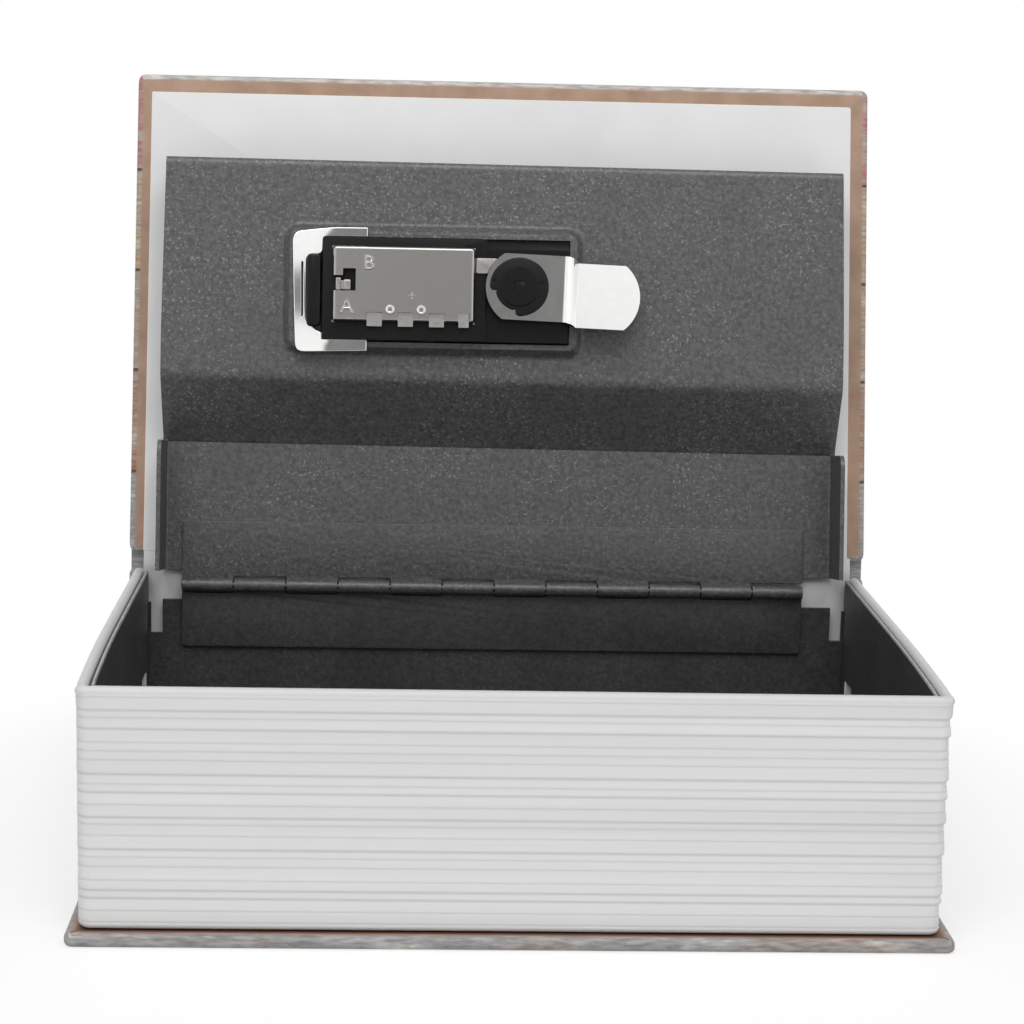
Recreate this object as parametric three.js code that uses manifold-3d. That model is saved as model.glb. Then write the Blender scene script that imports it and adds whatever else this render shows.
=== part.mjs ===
// A book safe: a hard-cover book whose page block is a moulded shell round a steel box.
// The box has its own steel lid on a piano hinge, with a three-dial combination cam lock.
// It stands open, as for use: the lid leans back on the hinge and the front cover behind it.
// Millimetres, +Z up, +X along the spine, +Y from the page edge to the spine.
// The origin is the middle of the back cover's underside.
import * as THREE from "three";
import { mergeVertices } from "three/addons/utils/BufferGeometryUtils.js";
import Module from "manifold-3d";

const wasm = await Module();
wasm.setup();

// Hard cover: greyboards wrapped in printed paper
const BOARD = 1.8;
const WRAP_PAPER = 0.4;
const GLUE_LINE = 0.1;
const TURN_IN = 12;
const PAGE_OVERHANG = 2.4; // how far the covers stand out past the page block's front
const SIDE_OVERHANG = 1.5; // and past its sides
const ENDPAPER_BORDER = 3.4; // turned-in paper left showing round the endpaper
const ENDPAPER = 0.2;
const GROOVE = 6; // from the front joint's axis to the edge of the front board
const JOINT_RADIUS = 1.2; // the thick fold of cloth and paper that the front cover turns on
const JOINT_STRIP = 0.9;
const COVER_OPEN_DEG = 102.6; // from lying shut to the pose in which it stands

// Page block: a moulded shell on three sides
const SHELL_DEPTH = 114.4;
const SHELL_HEIGHT = 50.1;
const SHELL_HALF_WIDTH = 87.4; // at the front
const SHELL_WALL = 2.4;
const SHELL_CORNER = 3;
const SIDE_BOW = 1.1; // how much wider each side is once past its front part
const BOW_LENGTH = 55;
const FIRST_LINE = 2; // depth of the first line below the rim
const LAST_LINE = 1.2; // least height of the last line above the shell's foot
const LINE_PITCH = 2.2;
const LINE_WANDER = 0.4; // the pages lie unevenly
const WANDER_RATE = 1.9; // in radians from one line to the next
const LINE_DEPTH = 0.7;
const LINE_HALF_HEIGHT = 0.4;

// Steel box
const BOX_SHEET = 0.7;
const BOX_GAP = 0.3; // between the box and the shell
const BOX_RIM_DROP = 0.4;
const BOX_CORNER = 1.2;
const SPINE_SPACE = 0.3; // between the shell and the spine's lining
const SHOULDER_DROP = 7.3; // rear wall's top beside the hinge, below the rim
const NOTCH_DROP = 15.6;
const NOTCH_WIDTH = 2.8;
const SLIT_WIDTH = 0.8;
const SLIT_TOP_DROP = 26;
const SLIT_BOTTOM = 8;

// Piano hinge
const KNUCKLES = 12;
const KNUCKLE_PITCH = 12.6;
const KNUCKLE_GAP = 0.3;
const KNUCKLE_RADIUS = 1.6;
const PIN_RADIUS = 0.8;
const PIN_PLAY = 0.2;
const LEAF = 0.8;
const LEAF_HEIGHT = 15.4;
const LEAF_SEAT = 0.15; // paint between a leaf and the sheet behind it
const HINGE_SHIFT = -1.3; // the hinge sits a little to the left
const PIN_DROP = 3.2; // pin axis below the rim
const PIN_FROM_SPINE = 3.6; // pin axis in front of the shell's rear end
const LID_OPEN_DEG = 100.2; // from lying shut to the pose in which it stands

// Lid, in its own frame: s runs up from the pin, t towards the inside of the box
const LID_WIDTH = 163;
const LID_LENGTH = 101.6; // pin axis to fore edge
const LID_SHEET = 1;
const LID_START = 3.6;
const STEP_START = 34.2;
const STEP_END = 49.8;
const LID_STEP = 10.4; // how deep the main plate is set below the hinge strip
const FORE_FLANGE = 9.3;
const SKIRT_DEPTH = 14.8;
const SKIRT_ROUND = 3;

// Lock, about the knob's axis: x to the right, s up
const LOCK_X = 3;
const LOCK_FROM_FORE_EDGE = 29.6;
const POCKET = { left: -56.2, right: 16, bottom: -18.4, top: 14.6 };
const POCKET_RISE = 2.8;
const POCKET_SLOPE = 2;
const LOCK_PLAY = 0.4;
const SEAT = 0.3; // clearance of the lock's pieces to what they sit on
const BODY = { left: -46.5, right: 11.9, bottom: -14.1, top: 11.3 };
const BODY_STEP = { x: -7.7, top: 9.3, drop: 1.6 };
const BODY_RISE = 2.7; // the body's inner face above the pocket
const BEZEL = { left: -52.8, right: 12.8, bottom: -15.2, top: 11.8 };
const BEZEL_PROUD = 1.5; // outer face above the lid's outer face
const CASE = { left: -44.2, right: -10.5, bottom: -9.6, top: 9.1 };
const CASE_SHEET = 0.6;
const CASE_DEPTH = 2.4;
const DIALS = 3;
const DIAL_PITCH = 7.4;
const FIRST_DIAL_X = -34.4;
const DIAL_S = -0.2;
const DIAL_RADIUS = 6;
const DIAL_WIDTH = 4.6;
const DIAL_PLAY = 0.3;
const DIAL_PROUD = 2.6; // past the bezel's outer face
const DIAL_NUMBERS = 10;
const DIAL_GROOVE = 0.5;
const DIAL_FACE_SHARE = 0.8; // of a number's pitch, the rest slopes to the grooves
const SLEEVE_RADIUS = 2.9;
const SLEEVE_GATE = 1.6;
const AXLE_RADIUS = 1.2;
const AXLE_OVERLAP = 2; // past the outer dials, into the body
const NOTCH_WIDTHS = [4, 4, 4.4, 3];
const LAST_NOTCH_X = -13.2;
const CASE_NOTCH = 2.9;
const SPRING_SHEET = 0.5;
const SPRING_FINGER = 1.5;
const SPRING_PAST_RIVET = 1.05;
const RIVET_S = -6.1;
const RIVET_HEAD = { radius: 1.15, height: 0.4 };
const RIVET_SHANK = 0.7;
const RIVET_DIMPLE = 0.5;
const WINDOW = { right: -38.6, bottom: -1.9, top: 4.4 };
const LEVER_WIDTH = 4.4;
const LEVER_HEIGHT = 3;
const LEVER_PROUD = 0.5;
const STOP = { left: -51.2, right: -46.9, bottom: -10.8, top: 6.9 };
const STOP_HEIGHT = 2.8;
const STOP_ROUND = 1.2;
const CLIP = { left: -54.7, right: -36.6, bottom: -17, top: 13 };
const CLIP_SHEET = 0.8;
const CLIP_ROUND = 3;
const BAR = { left: -10.2, right: -5.2, bottom: 3.2, top: 6.8 };
const BAR_SHEET = 0.4;
const KNOB_RADIUS = 8.5;
const KNOB_DISC = 2.5;
const KNOB_HEIGHT = 8.7;
const GRIP_WIDTH = 5;
const GRIP_LENGTH = 15;
const GRIP_ROUND = 2;
const SPINDLE_RADIUS = 3.2;
const SPINDLE_SQUARE = 3.6;
const SQUARE_PLAY = 0.2;
const SPACER_RADIUS = 5;
const CAM_LEVEL = 1; // cam plate above the body's inner face
const CAM_SHEET = 1;
const CAM_HALF = 8.3;
const CAM_BEND = 12.2;
const TONGUE_START = 14.1;
const TONGUE_TIP = 29.4;
const TONGUE_HALF = 8;
const TONGUE_CRANK = 2.2;
const TIP_RADIUS = 8.8;
const TIP_HALF = 7.48; // where the tip's arc ends at the blunt corners
const BOSS_RADIUS = 7;
const BOSS_HEIGHT = 2;
const BOSS_NOTCHES = 3;
const BOSS_NOTCH = 1.6;
const FIRST_NOTCH = 0.55; // its place, in pitches from the right

// Strike: the bent ledge under which the tongue turns
const STRIKE_HALF_WIDTH = 20;
const STRIKE_SHEET = 0.8;
const STRIKE_REACH = 9.1;
const STRIKE_FOOT = 11;
const STRIKE_CLEAR = 0.2; // under the shut lid
const TONGUE_CLEAR = 0.4;

const OVERSHOOT = 1; // how far a cutter runs past what it cuts

// Places worked out from the sizes
const HALF_WIDTH = SHELL_HALF_WIDTH + SIDE_BOW + SIDE_OVERHANG;
const COVER = BOARD + 2 * (WRAP_PAPER + GLUE_LINE);
const SHELL_BOTTOM = COVER + ENDPAPER;
const RIM = SHELL_BOTTOM + SHELL_HEIGHT;
const SPINE_FACE = SHELL_DEPTH + SPINE_SPACE + ENDPAPER;
const SPINE_BACK = SPINE_FACE + COVER;
const JOINT_Y = SPINE_FACE + COVER / 2;
const JOINT_Z = RIM + ENDPAPER + GLUE_LINE + ENDPAPER + COVER / 2;
const COVER_LENGTH = JOINT_Y + PAGE_OVERHANG;
const SPINE_TOP = RIM - GLUE_LINE;
const ORIGIN_Y = (SPINE_BACK - PAGE_OVERHANG) / 2;
const PIN_Y = SHELL_DEPTH - PIN_FROM_SPINE;
const PIN_Z = RIM - PIN_DROP;
const LEAF_BACK = KNUCKLE_RADIUS;
const REAR_WALL = PIN_Y + LEAF_BACK + LEAF_SEAT;
const PAGE_LINES = 1 + Math.floor((SHELL_HEIGHT - FIRST_LINE - LAST_LINE) / LINE_PITCH);
const BOX_FRONT = SHELL_WALL + BOX_GAP;
const BOX_FLOOR = SHELL_BOTTOM + BOX_GAP;
const BOX_HALF = SHELL_HALF_WIDTH - SHELL_WALL - BOX_GAP;
const BOX_TOP = RIM - BOX_RIM_DROP;
const BOX_REAR_HALF = BOX_HALF - BOX_SHEET + SIDE_BOW;
const HINGE_LENGTH = KNUCKLES * KNUCKLE_PITCH;
const STRIP_T = -(LEAF_BACK + LEAF_SEAT);
const PLATE_T = STRIP_T + LID_STEP;
const LOCK_S = LID_LENGTH - LOCK_FROM_FORE_EDGE;
const POCKET_T = PLATE_T + POCKET_RISE;
const BEZEL_T = PLATE_T - LID_SHEET - BEZEL_PROUD;
const BODY_T = POCKET_T + BODY_RISE;
const CASE_BOTTOM_T = BODY_T + SEAT;
const CASE_TOP_T = CASE_BOTTOM_T + CASE_DEPTH;
const DIAL_T = BEZEL_T - DIAL_PROUD + DIAL_RADIUS;
const CAM_T = BODY_T + CAM_LEVEL;
const TONGUE_T = CAM_T - TONGUE_CRANK;
const SPRING_T = CASE_TOP_T - CASE_SHEET - SEAT - SPRING_SHEET;
const STRIKE_TOP = PIN_Z - PLATE_T - STRIKE_CLEAR;
const STRIKE_EDGE = PIN_Z - TONGUE_T + TONGUE_CLEAR;
const rivetXs = [0, 1].map((i) => FIRST_DIAL_X + (i + 0.5) * DIAL_PITCH);

// Solids

// A closed geometry as a solid that can be joined and cut.
function solid(geometry) {
  const bare = geometry.clone();
  bare.deleteAttribute("normal");
  bare.deleteAttribute("uv");
  const merged = mergeVertices(bare, 1e-4);
  return new wasm.Manifold(
    new wasm.Mesh({
      numProp: 3,
      vertProperties: merged.attributes.position.array,
      triVerts: new Uint32Array(merged.index.array),
    }),
  );
}

function geometryOf(manifold) {
  const mesh = manifold.getMesh();
  const geometry = new THREE.BufferGeometry();
  geometry.setAttribute("position", new THREE.BufferAttribute(mesh.vertProperties, 3));
  geometry.setIndex(new THREE.BufferAttribute(mesh.triVerts, 1));
  geometry.computeVertexNormals();
  return geometry;
}

const join = (...geometries) =>
  geometryOf(geometries.map(solid).reduce((a, b) => a.add(b)));

const cut = (geometry, ...cutters) =>
  geometryOf(cutters.map(solid).reduce((a, b) => a.subtract(b), solid(geometry)));

// A box between two corners.
function block(x0, x1, y0, y1, z0, z1) {
  const box = new THREE.BoxGeometry(x1 - x0, y1 - y0, z1 - z0);
  return box.translate((x0 + x1) / 2, (y0 + y1) / 2, (z0 + z1) / 2);
}

// A flat outline turned so that its two axes and its thickness follow three directions.
function slab(outline, thickness, across, up, through) {
  const geometry = new THREE.ExtrudeGeometry(outline, {
    depth: thickness,
    bevelEnabled: false,
    curveSegments: 6,
  });
  return geometry.applyMatrix4(new THREE.Matrix4().makeBasis(across, up, through));
}

const X = new THREE.Vector3(1, 0, 0);
const Y = new THREE.Vector3(0, 1, 0);
const Z = new THREE.Vector3(0, 0, 1);
const IN = new THREE.Vector3(0, -1, 0); // towards the inside of the lid

// An outline in Y and Z, run along X.
const alongX = (outline, x0, x1) =>
  slab(outline, x1 - x0, Y, Z, X).translate(x0, 0, 0);

// An outline in X and Y, run along Z.
const upright = (outline, z0, z1) => slab(outline, z1 - z0, X, Y, Z).translate(0, 0, z0);

// An outline in x and s on the lid, run along t.
const onLid = (outline, t0, t1) => slab(outline, t1 - t0, X, Z, IN).translate(0, -t0, 0);

// A box in the lid's own x, t and s.
const lidBlock = (x0, x1, t0, t1, s0, s1) => block(x0, x1, -t1, -t0, s0, s1);

const lockBlock = (r, t0, t1) => lidBlock(r.left, r.right, t0, t1, r.bottom, r.top);

const grown = (r, by) => ({
  left: r.left - by,
  right: r.right + by,
  bottom: r.bottom - by,
  top: r.top + by,
});

const polygon = (points) => new THREE.Shape(points.map(([a, b]) => new THREE.Vector2(a, b)));

// A rectangle with round corners.
function roundedRect(r, radius) {
  const shape = new THREE.Shape();
  shape.moveTo(r.left + radius, r.bottom);
  shape.lineTo(r.right - radius, r.bottom);
  shape.absarc(r.right - radius, r.bottom + radius, radius, -Math.PI / 2, 0);
  shape.lineTo(r.right, r.top - radius);
  shape.absarc(r.right - radius, r.top - radius, radius, 0, Math.PI / 2);
  shape.lineTo(r.left + radius, r.top);
  shape.absarc(r.left + radius, r.top - radius, radius, Math.PI / 2, Math.PI);
  shape.lineTo(r.left, r.bottom + radius);
  shape.absarc(r.left + radius, r.bottom + radius, radius, Math.PI, 1.5 * Math.PI);
  return shape;
}

function circle(radius, x = 0, y = 0) {
  const shape = new THREE.Shape();
  shape.absarc(x, y, radius, 0, 2 * Math.PI);
  return shape;
}

// A round rod along X.
function rodX(radius, x0, x1, sides = 16) {
  const rod = new THREE.CylinderGeometry(radius, radius, x1 - x0, sides);
  return rod.rotateZ(-Math.PI / 2).translate((x0 + x1) / 2, 0, 0);
}

// A round rod on the lock's axis, from one depth to another.
function rodT(radius, t0, t1, sides = 24) {
  return new THREE.CylinderGeometry(radius, radius, t1 - t0, sides).translate(0, -(t0 + t1) / 2, 0);
}

// The line beside a path at a distance to its left, with mitred corners.
function beside(path, distance) {
  return path.map((point, i) => {
    const before = path[Math.max(i - 1, 0)];
    const after = path[Math.min(i + 1, path.length - 1)];
    const first = new THREE.Vector2(point[0] - before[0], point[1] - before[1]).normalize();
    const second = new THREE.Vector2(after[0] - point[0], after[1] - point[1]).normalize();
    if (i === 0) first.copy(second);
    if (i === path.length - 1) second.copy(first);
    const normal = new THREE.Vector2(-first.y - second.y, first.x + second.x).normalize();
    const reach = distance / normal.dot(new THREE.Vector2(-first.y, first.x));
    return [point[0] + normal.x * reach, point[1] + normal.y * reach];
  });
}

// Materials
const finish = (color, roughness, metalness) =>
  new THREE.MeshStandardMaterial({ color, roughness, metalness });
const printedPaper = finish(0x9a6f57, 0.6, 0);
const greyboard = finish(0x8d8780, 0.9, 0);
const whitePaper = finish(0xdcdcdc, 0.7, 0);
const shellPlastic = finish(0xdedede, 0.45, 0);
const powderCoat = finish(0x565656, 0.6, 0.2);
const pinSteel = finish(0x8a8a8a, 0.35, 1);
const blackPlastic = finish(0x151515, 0.4, 0);
const nickel = finish(0x9a9691, 0.3, 1);
const polished = finish(0xe4e4e6, 0.12, 1);
const brass = finish(0xb89a5a, 0.35, 1);

const book = new THREE.Group();
const base = new THREE.Group();
base.position.y = -ORIGIN_Y;
const lid = new THREE.Group();
lid.position.set(0, PIN_Y, PIN_Z);
lid.rotation.x = THREE.MathUtils.degToRad(90 - LID_OPEN_DEG);
const lock = new THREE.Group();
lock.position.set(LOCK_X, 0, LOCK_S);
const cover = new THREE.Group();
cover.position.set(0, JOINT_Y, JOINT_Z);
cover.rotation.x = THREE.MathUtils.degToRad(90 - COVER_OPEN_DEG);
book.add(base);
base.add(lid, cover);
lid.add(lock);

function add(group, name, geometry, material) {
  const mesh = new THREE.Mesh(geometry, material);
  mesh.name = name;
  group.add(mesh);
}

// Case of the book

// A board's place in its wrap: the paper's thickness inside the wrap's outside.
const pocketIn = WRAP_PAPER;
const boardIn = WRAP_PAPER + GLUE_LINE;

function backAndSpineWrap() {
  const backEnd = JOINT_Y - GROOVE;
  const low = 2 * WRAP_PAPER;
  const spineStart = COVER + 2 * WRAP_PAPER;
  const outline = polygon([
    [-PAGE_OVERHANG, 0],
    [SPINE_BACK - COVER / 2, 0],
    [SPINE_BACK, COVER / 2],
    [SPINE_BACK, SPINE_TOP],
    [SPINE_FACE, SPINE_TOP],
    [SPINE_FACE, spineStart],
    [SPINE_BACK - low, spineStart],
    [SPINE_BACK - low, COVER / 2 + low / 2],
    [SPINE_BACK - COVER / 2 - low / 2, low],
    [backEnd, low],
    [backEnd, COVER],
    [-PAGE_OVERHANG, COVER],
  ]);
  const side = HALF_WIDTH - pocketIn;
  const seen = HALF_WIDTH - TURN_IN;
  return cut(
    alongX(outline, -HALF_WIDTH, HALF_WIDTH),
    block(-side, side, pocketIn - PAGE_OVERHANG, backEnd - pocketIn, pocketIn, COVER - pocketIn),
    block(-seen, seen, TURN_IN - PAGE_OVERHANG, backEnd - pocketIn, pocketIn, COVER + OVERSHOOT),
    block(
      -side,
      side,
      SPINE_FACE + pocketIn,
      SPINE_BACK - pocketIn,
      spineStart + pocketIn,
      SPINE_TOP - pocketIn,
    ),
    block(
      -seen,
      seen,
      SPINE_FACE - OVERSHOOT,
      SPINE_BACK - pocketIn,
      spineStart + TURN_IN / 2,
      SPINE_TOP - TURN_IN / 2,
    ),
  );
}

function frontWrap() {
  const side = HALF_WIDTH - pocketIn;
  const seen = HALF_WIDTH - TURN_IN;
  const half = COVER / 2;
  const shell = join(
    block(-HALF_WIDTH, HALF_WIDTH, -half, half, GROOVE, COVER_LENGTH),
    block(
      -HALF_WIDTH,
      HALF_WIDTH,
      -JOINT_STRIP / 2,
      JOINT_STRIP / 2,
      JOINT_RADIUS + SEAT,
      GROOVE + pocketIn / 2,
    ),
  );
  return cut(
    shell,
    block(-side, side, pocketIn - half, half - pocketIn, GROOVE + pocketIn, COVER_LENGTH - pocketIn),
    block(-seen, seen, -half - OVERSHOOT, 0, GROOVE + TURN_IN, COVER_LENGTH - TURN_IN),
  );
}

const boardSide = HALF_WIDTH - boardIn;
add(base, "back_spine_wrap", backAndSpineWrap(), printedPaper);
add(
  base,
  "back_board",
  block(
    -boardSide,
    boardSide,
    boardIn - PAGE_OVERHANG,
    JOINT_Y - GROOVE - boardIn,
    boardIn,
    COVER - boardIn,
  ),
  greyboard,
);
add(
  base,
  "spine_board",
  block(
    -boardSide,
    boardSide,
    SPINE_FACE + boardIn,
    SPINE_BACK - boardIn,
    COVER + 2 * WRAP_PAPER + boardIn,
    SPINE_TOP - boardIn,
  ),
  greyboard,
);
const liningHalf = HALF_WIDTH - ENDPAPER_BORDER;
add(
  base,
  "back_endpaper",
  block(-liningHalf, liningHalf, PAGE_OVERHANG, JOINT_Y - GROOVE, COVER, SHELL_BOTTOM),
  whitePaper,
);
add(
  base,
  "spine_lining",
  block(
    -liningHalf,
    liningHalf,
    SPINE_FACE - ENDPAPER,
    SPINE_FACE,
    COVER + 2 * WRAP_PAPER,
    SPINE_TOP,
  ),
  whitePaper,
);
add(cover, "front_cover_wrap", frontWrap(), printedPaper);
add(
  cover,
  "front_board",
  block(
    -boardSide,
    boardSide,
    boardIn - COVER / 2,
    COVER / 2 - boardIn,
    GROOVE + boardIn,
    COVER_LENGTH - boardIn,
  ),
  greyboard,
);
add(
  cover,
  "front_endpaper",
  block(
    -liningHalf,
    liningHalf,
    -COVER / 2 - GLUE_LINE - ENDPAPER,
    -COVER / 2 - GLUE_LINE,
    GROOVE,
    COVER_LENGTH - ENDPAPER_BORDER,
  ),
  whitePaper,
);
add(
  cover,
  "front_joint_cloth",
  rodX(JOINT_RADIUS, -liningHalf, liningHalf),
  printedPaper,
);

// Page shell

// Half the width at a depth: it widens over the front part and then runs straight.
const bow = (y) => SIDE_BOW * Math.sin((Math.PI / 2) * Math.min(Math.max(y, 0) / BOW_LENGTH, 1));

// The shell's plan from its rear left end round the front to its rear right end.
function planPath(halfWidth, front, radius, rear) {
  const sideSteps = 5;
  const cornerSteps = 3;
  const right = [];
  for (let i = 0; i <= cornerSteps; i += 1) {
    const turn = (Math.PI / 2) * (i / cornerSteps);
    right.push([
      halfWidth - radius * (1 - Math.sin(turn)),
      front + radius * (1 - Math.cos(turn)),
    ]);
  }
  for (let i = 1; i <= sideSteps; i += 1) {
    const y = Math.min(front + radius + (BOW_LENGTH * i) / (sideSteps - 1), rear);
    right.push([halfWidth + bow(y), i === sideSteps ? rear : y]);
  }
  const left = right.map(([x, y]) => [-x, y]).reverse();
  return [...left, ...right];
}

// The page lines: thin grooves at uneven heights, from the rim down.
function shellLevels() {
  const levels = [[RIM, 0]];
  for (let k = 0; k < PAGE_LINES; k += 1) {
    const z = RIM - FIRST_LINE - LINE_PITCH * k - LINE_WANDER * Math.sin(WANDER_RATE * k);
    levels.push([z + LINE_HALF_HEIGHT, 0]);
    levels.push([z, LINE_DEPTH]);
    levels.push([z - LINE_HALF_HEIGHT, 0]);
  }
  levels.push([SHELL_BOTTOM, 0]);
  return levels;
}

// A stack of closed loops, each the outer path at its level and the inner path back.
function pageShell() {
  const inner = planPath(
    SHELL_HALF_WIDTH - SHELL_WALL,
    SHELL_WALL,
    SHELL_CORNER - SHELL_WALL + BOX_GAP,
    SHELL_DEPTH,
  );
  const count = inner.length;
  const positions = [];
  const levels = shellLevels();
  for (const [z, inset] of levels) {
    const outer = planPath(SHELL_HALF_WIDTH - inset, inset, SHELL_CORNER, SHELL_DEPTH);
    for (const [x, y] of outer) positions.push(x, y, z);
    for (const [x, y] of [...inner].reverse()) positions.push(x, y, z);
  }
  const ring = 2 * count;
  const faces = [];
  for (let level = 0; level + 1 < levels.length; level += 1) {
    for (let i = 0; i < ring; i += 1) {
      const a = level * ring + i;
      const b = level * ring + ((i + 1) % ring);
      faces.push(a, a + ring, b, b, a + ring, b + ring);
    }
  }
  const last = (levels.length - 1) * ring;
  for (let i = 0; i + 1 < count; i += 1) {
    const across = ring - 1 - i;
    faces.push(i, i + 1, across, i + 1, across - 1, across);
    faces.push(last + i, last + across, last + i + 1, last + i + 1, last + across, last + across - 1);
  }
  const geometry = new THREE.BufferGeometry();
  geometry.setAttribute("position", new THREE.Float32BufferAttribute(positions, 3));
  geometry.setIndex(faces);
  geometry.computeVertexNormals();
  return geometry;
}

add(base, "page_shell", pageShell(), shellPlastic);

// Steel box

function steelBox() {
  const rear = REAR_WALL + BOX_SHEET;
  const outer = polygon(planPath(BOX_HALF, BOX_FRONT, BOX_CORNER, rear));
  const innerFront = BOX_FRONT + BOX_SHEET;
  const inner = polygon(
    planPath(BOX_HALF - BOX_SHEET, innerFront, BOX_CORNER - BOX_SHEET, REAR_WALL),
  );
  const hingeLeft = HINGE_SHIFT - HINGE_LENGTH / 2;
  const hingeRight = HINGE_SHIFT + HINGE_LENGTH / 2;
  const behind = REAR_WALL - OVERSHOOT;
  const past = rear + OVERSHOOT;
  const over = RIM + OVERSHOOT;
  const cutters = [
    upright(inner, BOX_FLOOR + BOX_SHEET, over),
    block(hingeLeft, hingeRight, behind, past, PIN_Z - KNUCKLE_RADIUS, over),
  ];
  for (const side of [-1, 1]) {
    const hingeEnd = side < 0 ? hingeLeft : hingeRight;
    const across = (a, b, z0, z1) =>
      block(Math.min(side * a, side * b), Math.max(side * a, side * b), behind, past, z0, z1);
    cutters.push(across(side * hingeEnd - OVERSHOOT, BOX_REAR_HALF, RIM - SHOULDER_DROP, over));
    cutters.push(across(BOX_REAR_HALF - NOTCH_WIDTH, BOX_REAR_HALF, RIM - NOTCH_DROP, over));
    cutters.push(
      across(BOX_REAR_HALF - SLIT_WIDTH, BOX_REAR_HALF, SLIT_BOTTOM, RIM - SLIT_TOP_DROP),
    );
  }
  return cut(upright(outer, BOX_FLOOR, BOX_TOP), ...cutters);
}

// The ledge is bent down at its edge, so that the tongue catches close under it.
function strike() {
  const wall = BOX_FRONT + BOX_SHEET;
  const edge = wall + STRIKE_REACH;
  const outline = polygon([
    [wall, STRIKE_TOP - STRIKE_FOOT],
    [wall + STRIKE_SHEET, STRIKE_TOP - STRIKE_FOOT],
    [wall + STRIKE_SHEET, STRIKE_TOP - STRIKE_SHEET],
    [edge - STRIKE_SHEET, STRIKE_TOP - STRIKE_SHEET],
    [edge - STRIKE_SHEET, STRIKE_EDGE],
    [edge, STRIKE_EDGE],
    [edge, STRIKE_TOP],
    [wall, STRIKE_TOP],
  ]);
  return alongX(outline, LOCK_X - STRIKE_HALF_WIDTH, LOCK_X + STRIKE_HALF_WIDTH);
}

add(base, "steel_box", steelBox(), powderCoat);
add(base, "strike", strike(), powderCoat);

// Piano hinge

// One leaf about the pin: every second knuckle is its own, and it is notched for the others.
function hingeLeaf(first) {
  const left = HINGE_SHIFT - HINGE_LENGTH / 2;
  const root = KNUCKLE_RADIUS + 2 * KNUCKLE_GAP;
  const front = LEAF_BACK - LEAF;
  const parts = [block(left, left + HINGE_LENGTH, front, LEAF_BACK, root, LEAF_HEIGHT)];
  for (let k = first; k < KNUCKLES; k += 2) {
    const x0 = left + k * KNUCKLE_PITCH + KNUCKLE_GAP / 2;
    const x1 = left + (k + 1) * KNUCKLE_PITCH - KNUCKLE_GAP / 2;
    parts.push(block(x0, x1, front, LEAF_BACK, 0, root + LEAF));
    parts.push(rodX(KNUCKLE_RADIUS, x0, x1));
  }
  const bore = rodX(PIN_RADIUS + PIN_PLAY, left - OVERSHOOT, left + HINGE_LENGTH + OVERSHOOT);
  return cut(join(...parts), bore);
}

const boxLeaf = hingeLeaf(1).applyMatrix4(new THREE.Matrix4().makeScale(1, 1, -1));
boxLeaf.setIndex([...boxLeaf.index.array].reverse()); // mirrored, so its faces are turned round
add(base, "box_leaf", boxLeaf.translate(0, PIN_Y, PIN_Z), powderCoat);
add(
  base,
  "hinge_pin",
  rodX(PIN_RADIUS, HINGE_SHIFT - HINGE_LENGTH / 2, HINGE_SHIFT + HINGE_LENGTH / 2).translate(
    0,
    PIN_Y,
    PIN_Z,
  ),
  pinSteel,
);
add(lid, "lid_leaf", hingeLeaf(0), powderCoat);

// Lid

// The pocket: a low frustum on the plate's inner face, hollow from outside.
function frustum(base0, t0, t1) {
  const top = grown(base0, -POCKET_SLOPE);
  const corners = [
    [base0, t0],
    [top, t1],
  ].flatMap(([r, t]) => [
    [r.left, -t, r.bottom],
    [r.right, -t, r.bottom],
    [r.right, -t, r.top],
    [r.left, -t, r.top],
  ]);
  const quads = [
    [3, 2, 1, 0],
    [4, 5, 6, 7],
    [0, 1, 5, 4],
    [1, 2, 6, 5],
    [2, 3, 7, 6],
    [3, 0, 4, 7],
  ];
  const geometry = new THREE.BufferGeometry();
  geometry.setAttribute("position", new THREE.Float32BufferAttribute(corners.flat(), 3));
  geometry.setIndex(quads.flatMap(([a, b, c, d]) => [a, b, c, a, c, d]));
  return geometry.translate(LOCK_X, 0, LOCK_S);
}

function lidPlate() {
  const half = LID_WIDTH / 2;
  const back = STRIP_T - LID_SHEET;
  const inside = [
    [-STRIP_T, LID_START],
    [-STRIP_T, STEP_START],
    [-PLATE_T, STEP_END],
    [-PLATE_T, LID_LENGTH],
    [FORE_FLANGE - PLATE_T, LID_LENGTH],
  ];
  const sheet = alongX(
    polygon([...inside, ...beside(inside, -LID_SHEET).reverse()]),
    -half,
    half,
  );
  const skirt = new THREE.Shape();
  skirt.moveTo(-back, LID_START);
  skirt.lineTo(-back, STEP_START);
  skirt.lineTo(SKIRT_ROUND - back - SKIRT_DEPTH, STEP_START);
  skirt.absarc(
    SKIRT_ROUND - back - SKIRT_DEPTH,
    STEP_START - SKIRT_ROUND,
    SKIRT_ROUND,
    Math.PI / 2,
    Math.PI,
  );
  skirt.lineTo(-back - SKIRT_DEPTH, LID_START);
  const dish = frustum(POCKET, PLATE_T - LID_SHEET / 2, POCKET_T);
  const hollow = frustum(
    grown(POCKET, -LID_SHEET / 2),
    PLATE_T - LID_SHEET - OVERSHOOT,
    POCKET_T - LID_SHEET,
  );
  const opening = lockBlock(grown(BODY, LOCK_PLAY), 0, POCKET_T + OVERSHOOT);
  return cut(
    join(sheet, alongX(skirt, -half, LID_SHEET - half), alongX(skirt, half - LID_SHEET, half), dish),
    hollow,
    opening.translate(LOCK_X, 0, LOCK_S),
  );
}

add(lid, "lid_plate", lidPlate(), powderCoat);

// Lock

const dialX = (i) => FIRST_DIAL_X + i * DIAL_PITCH;

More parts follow.
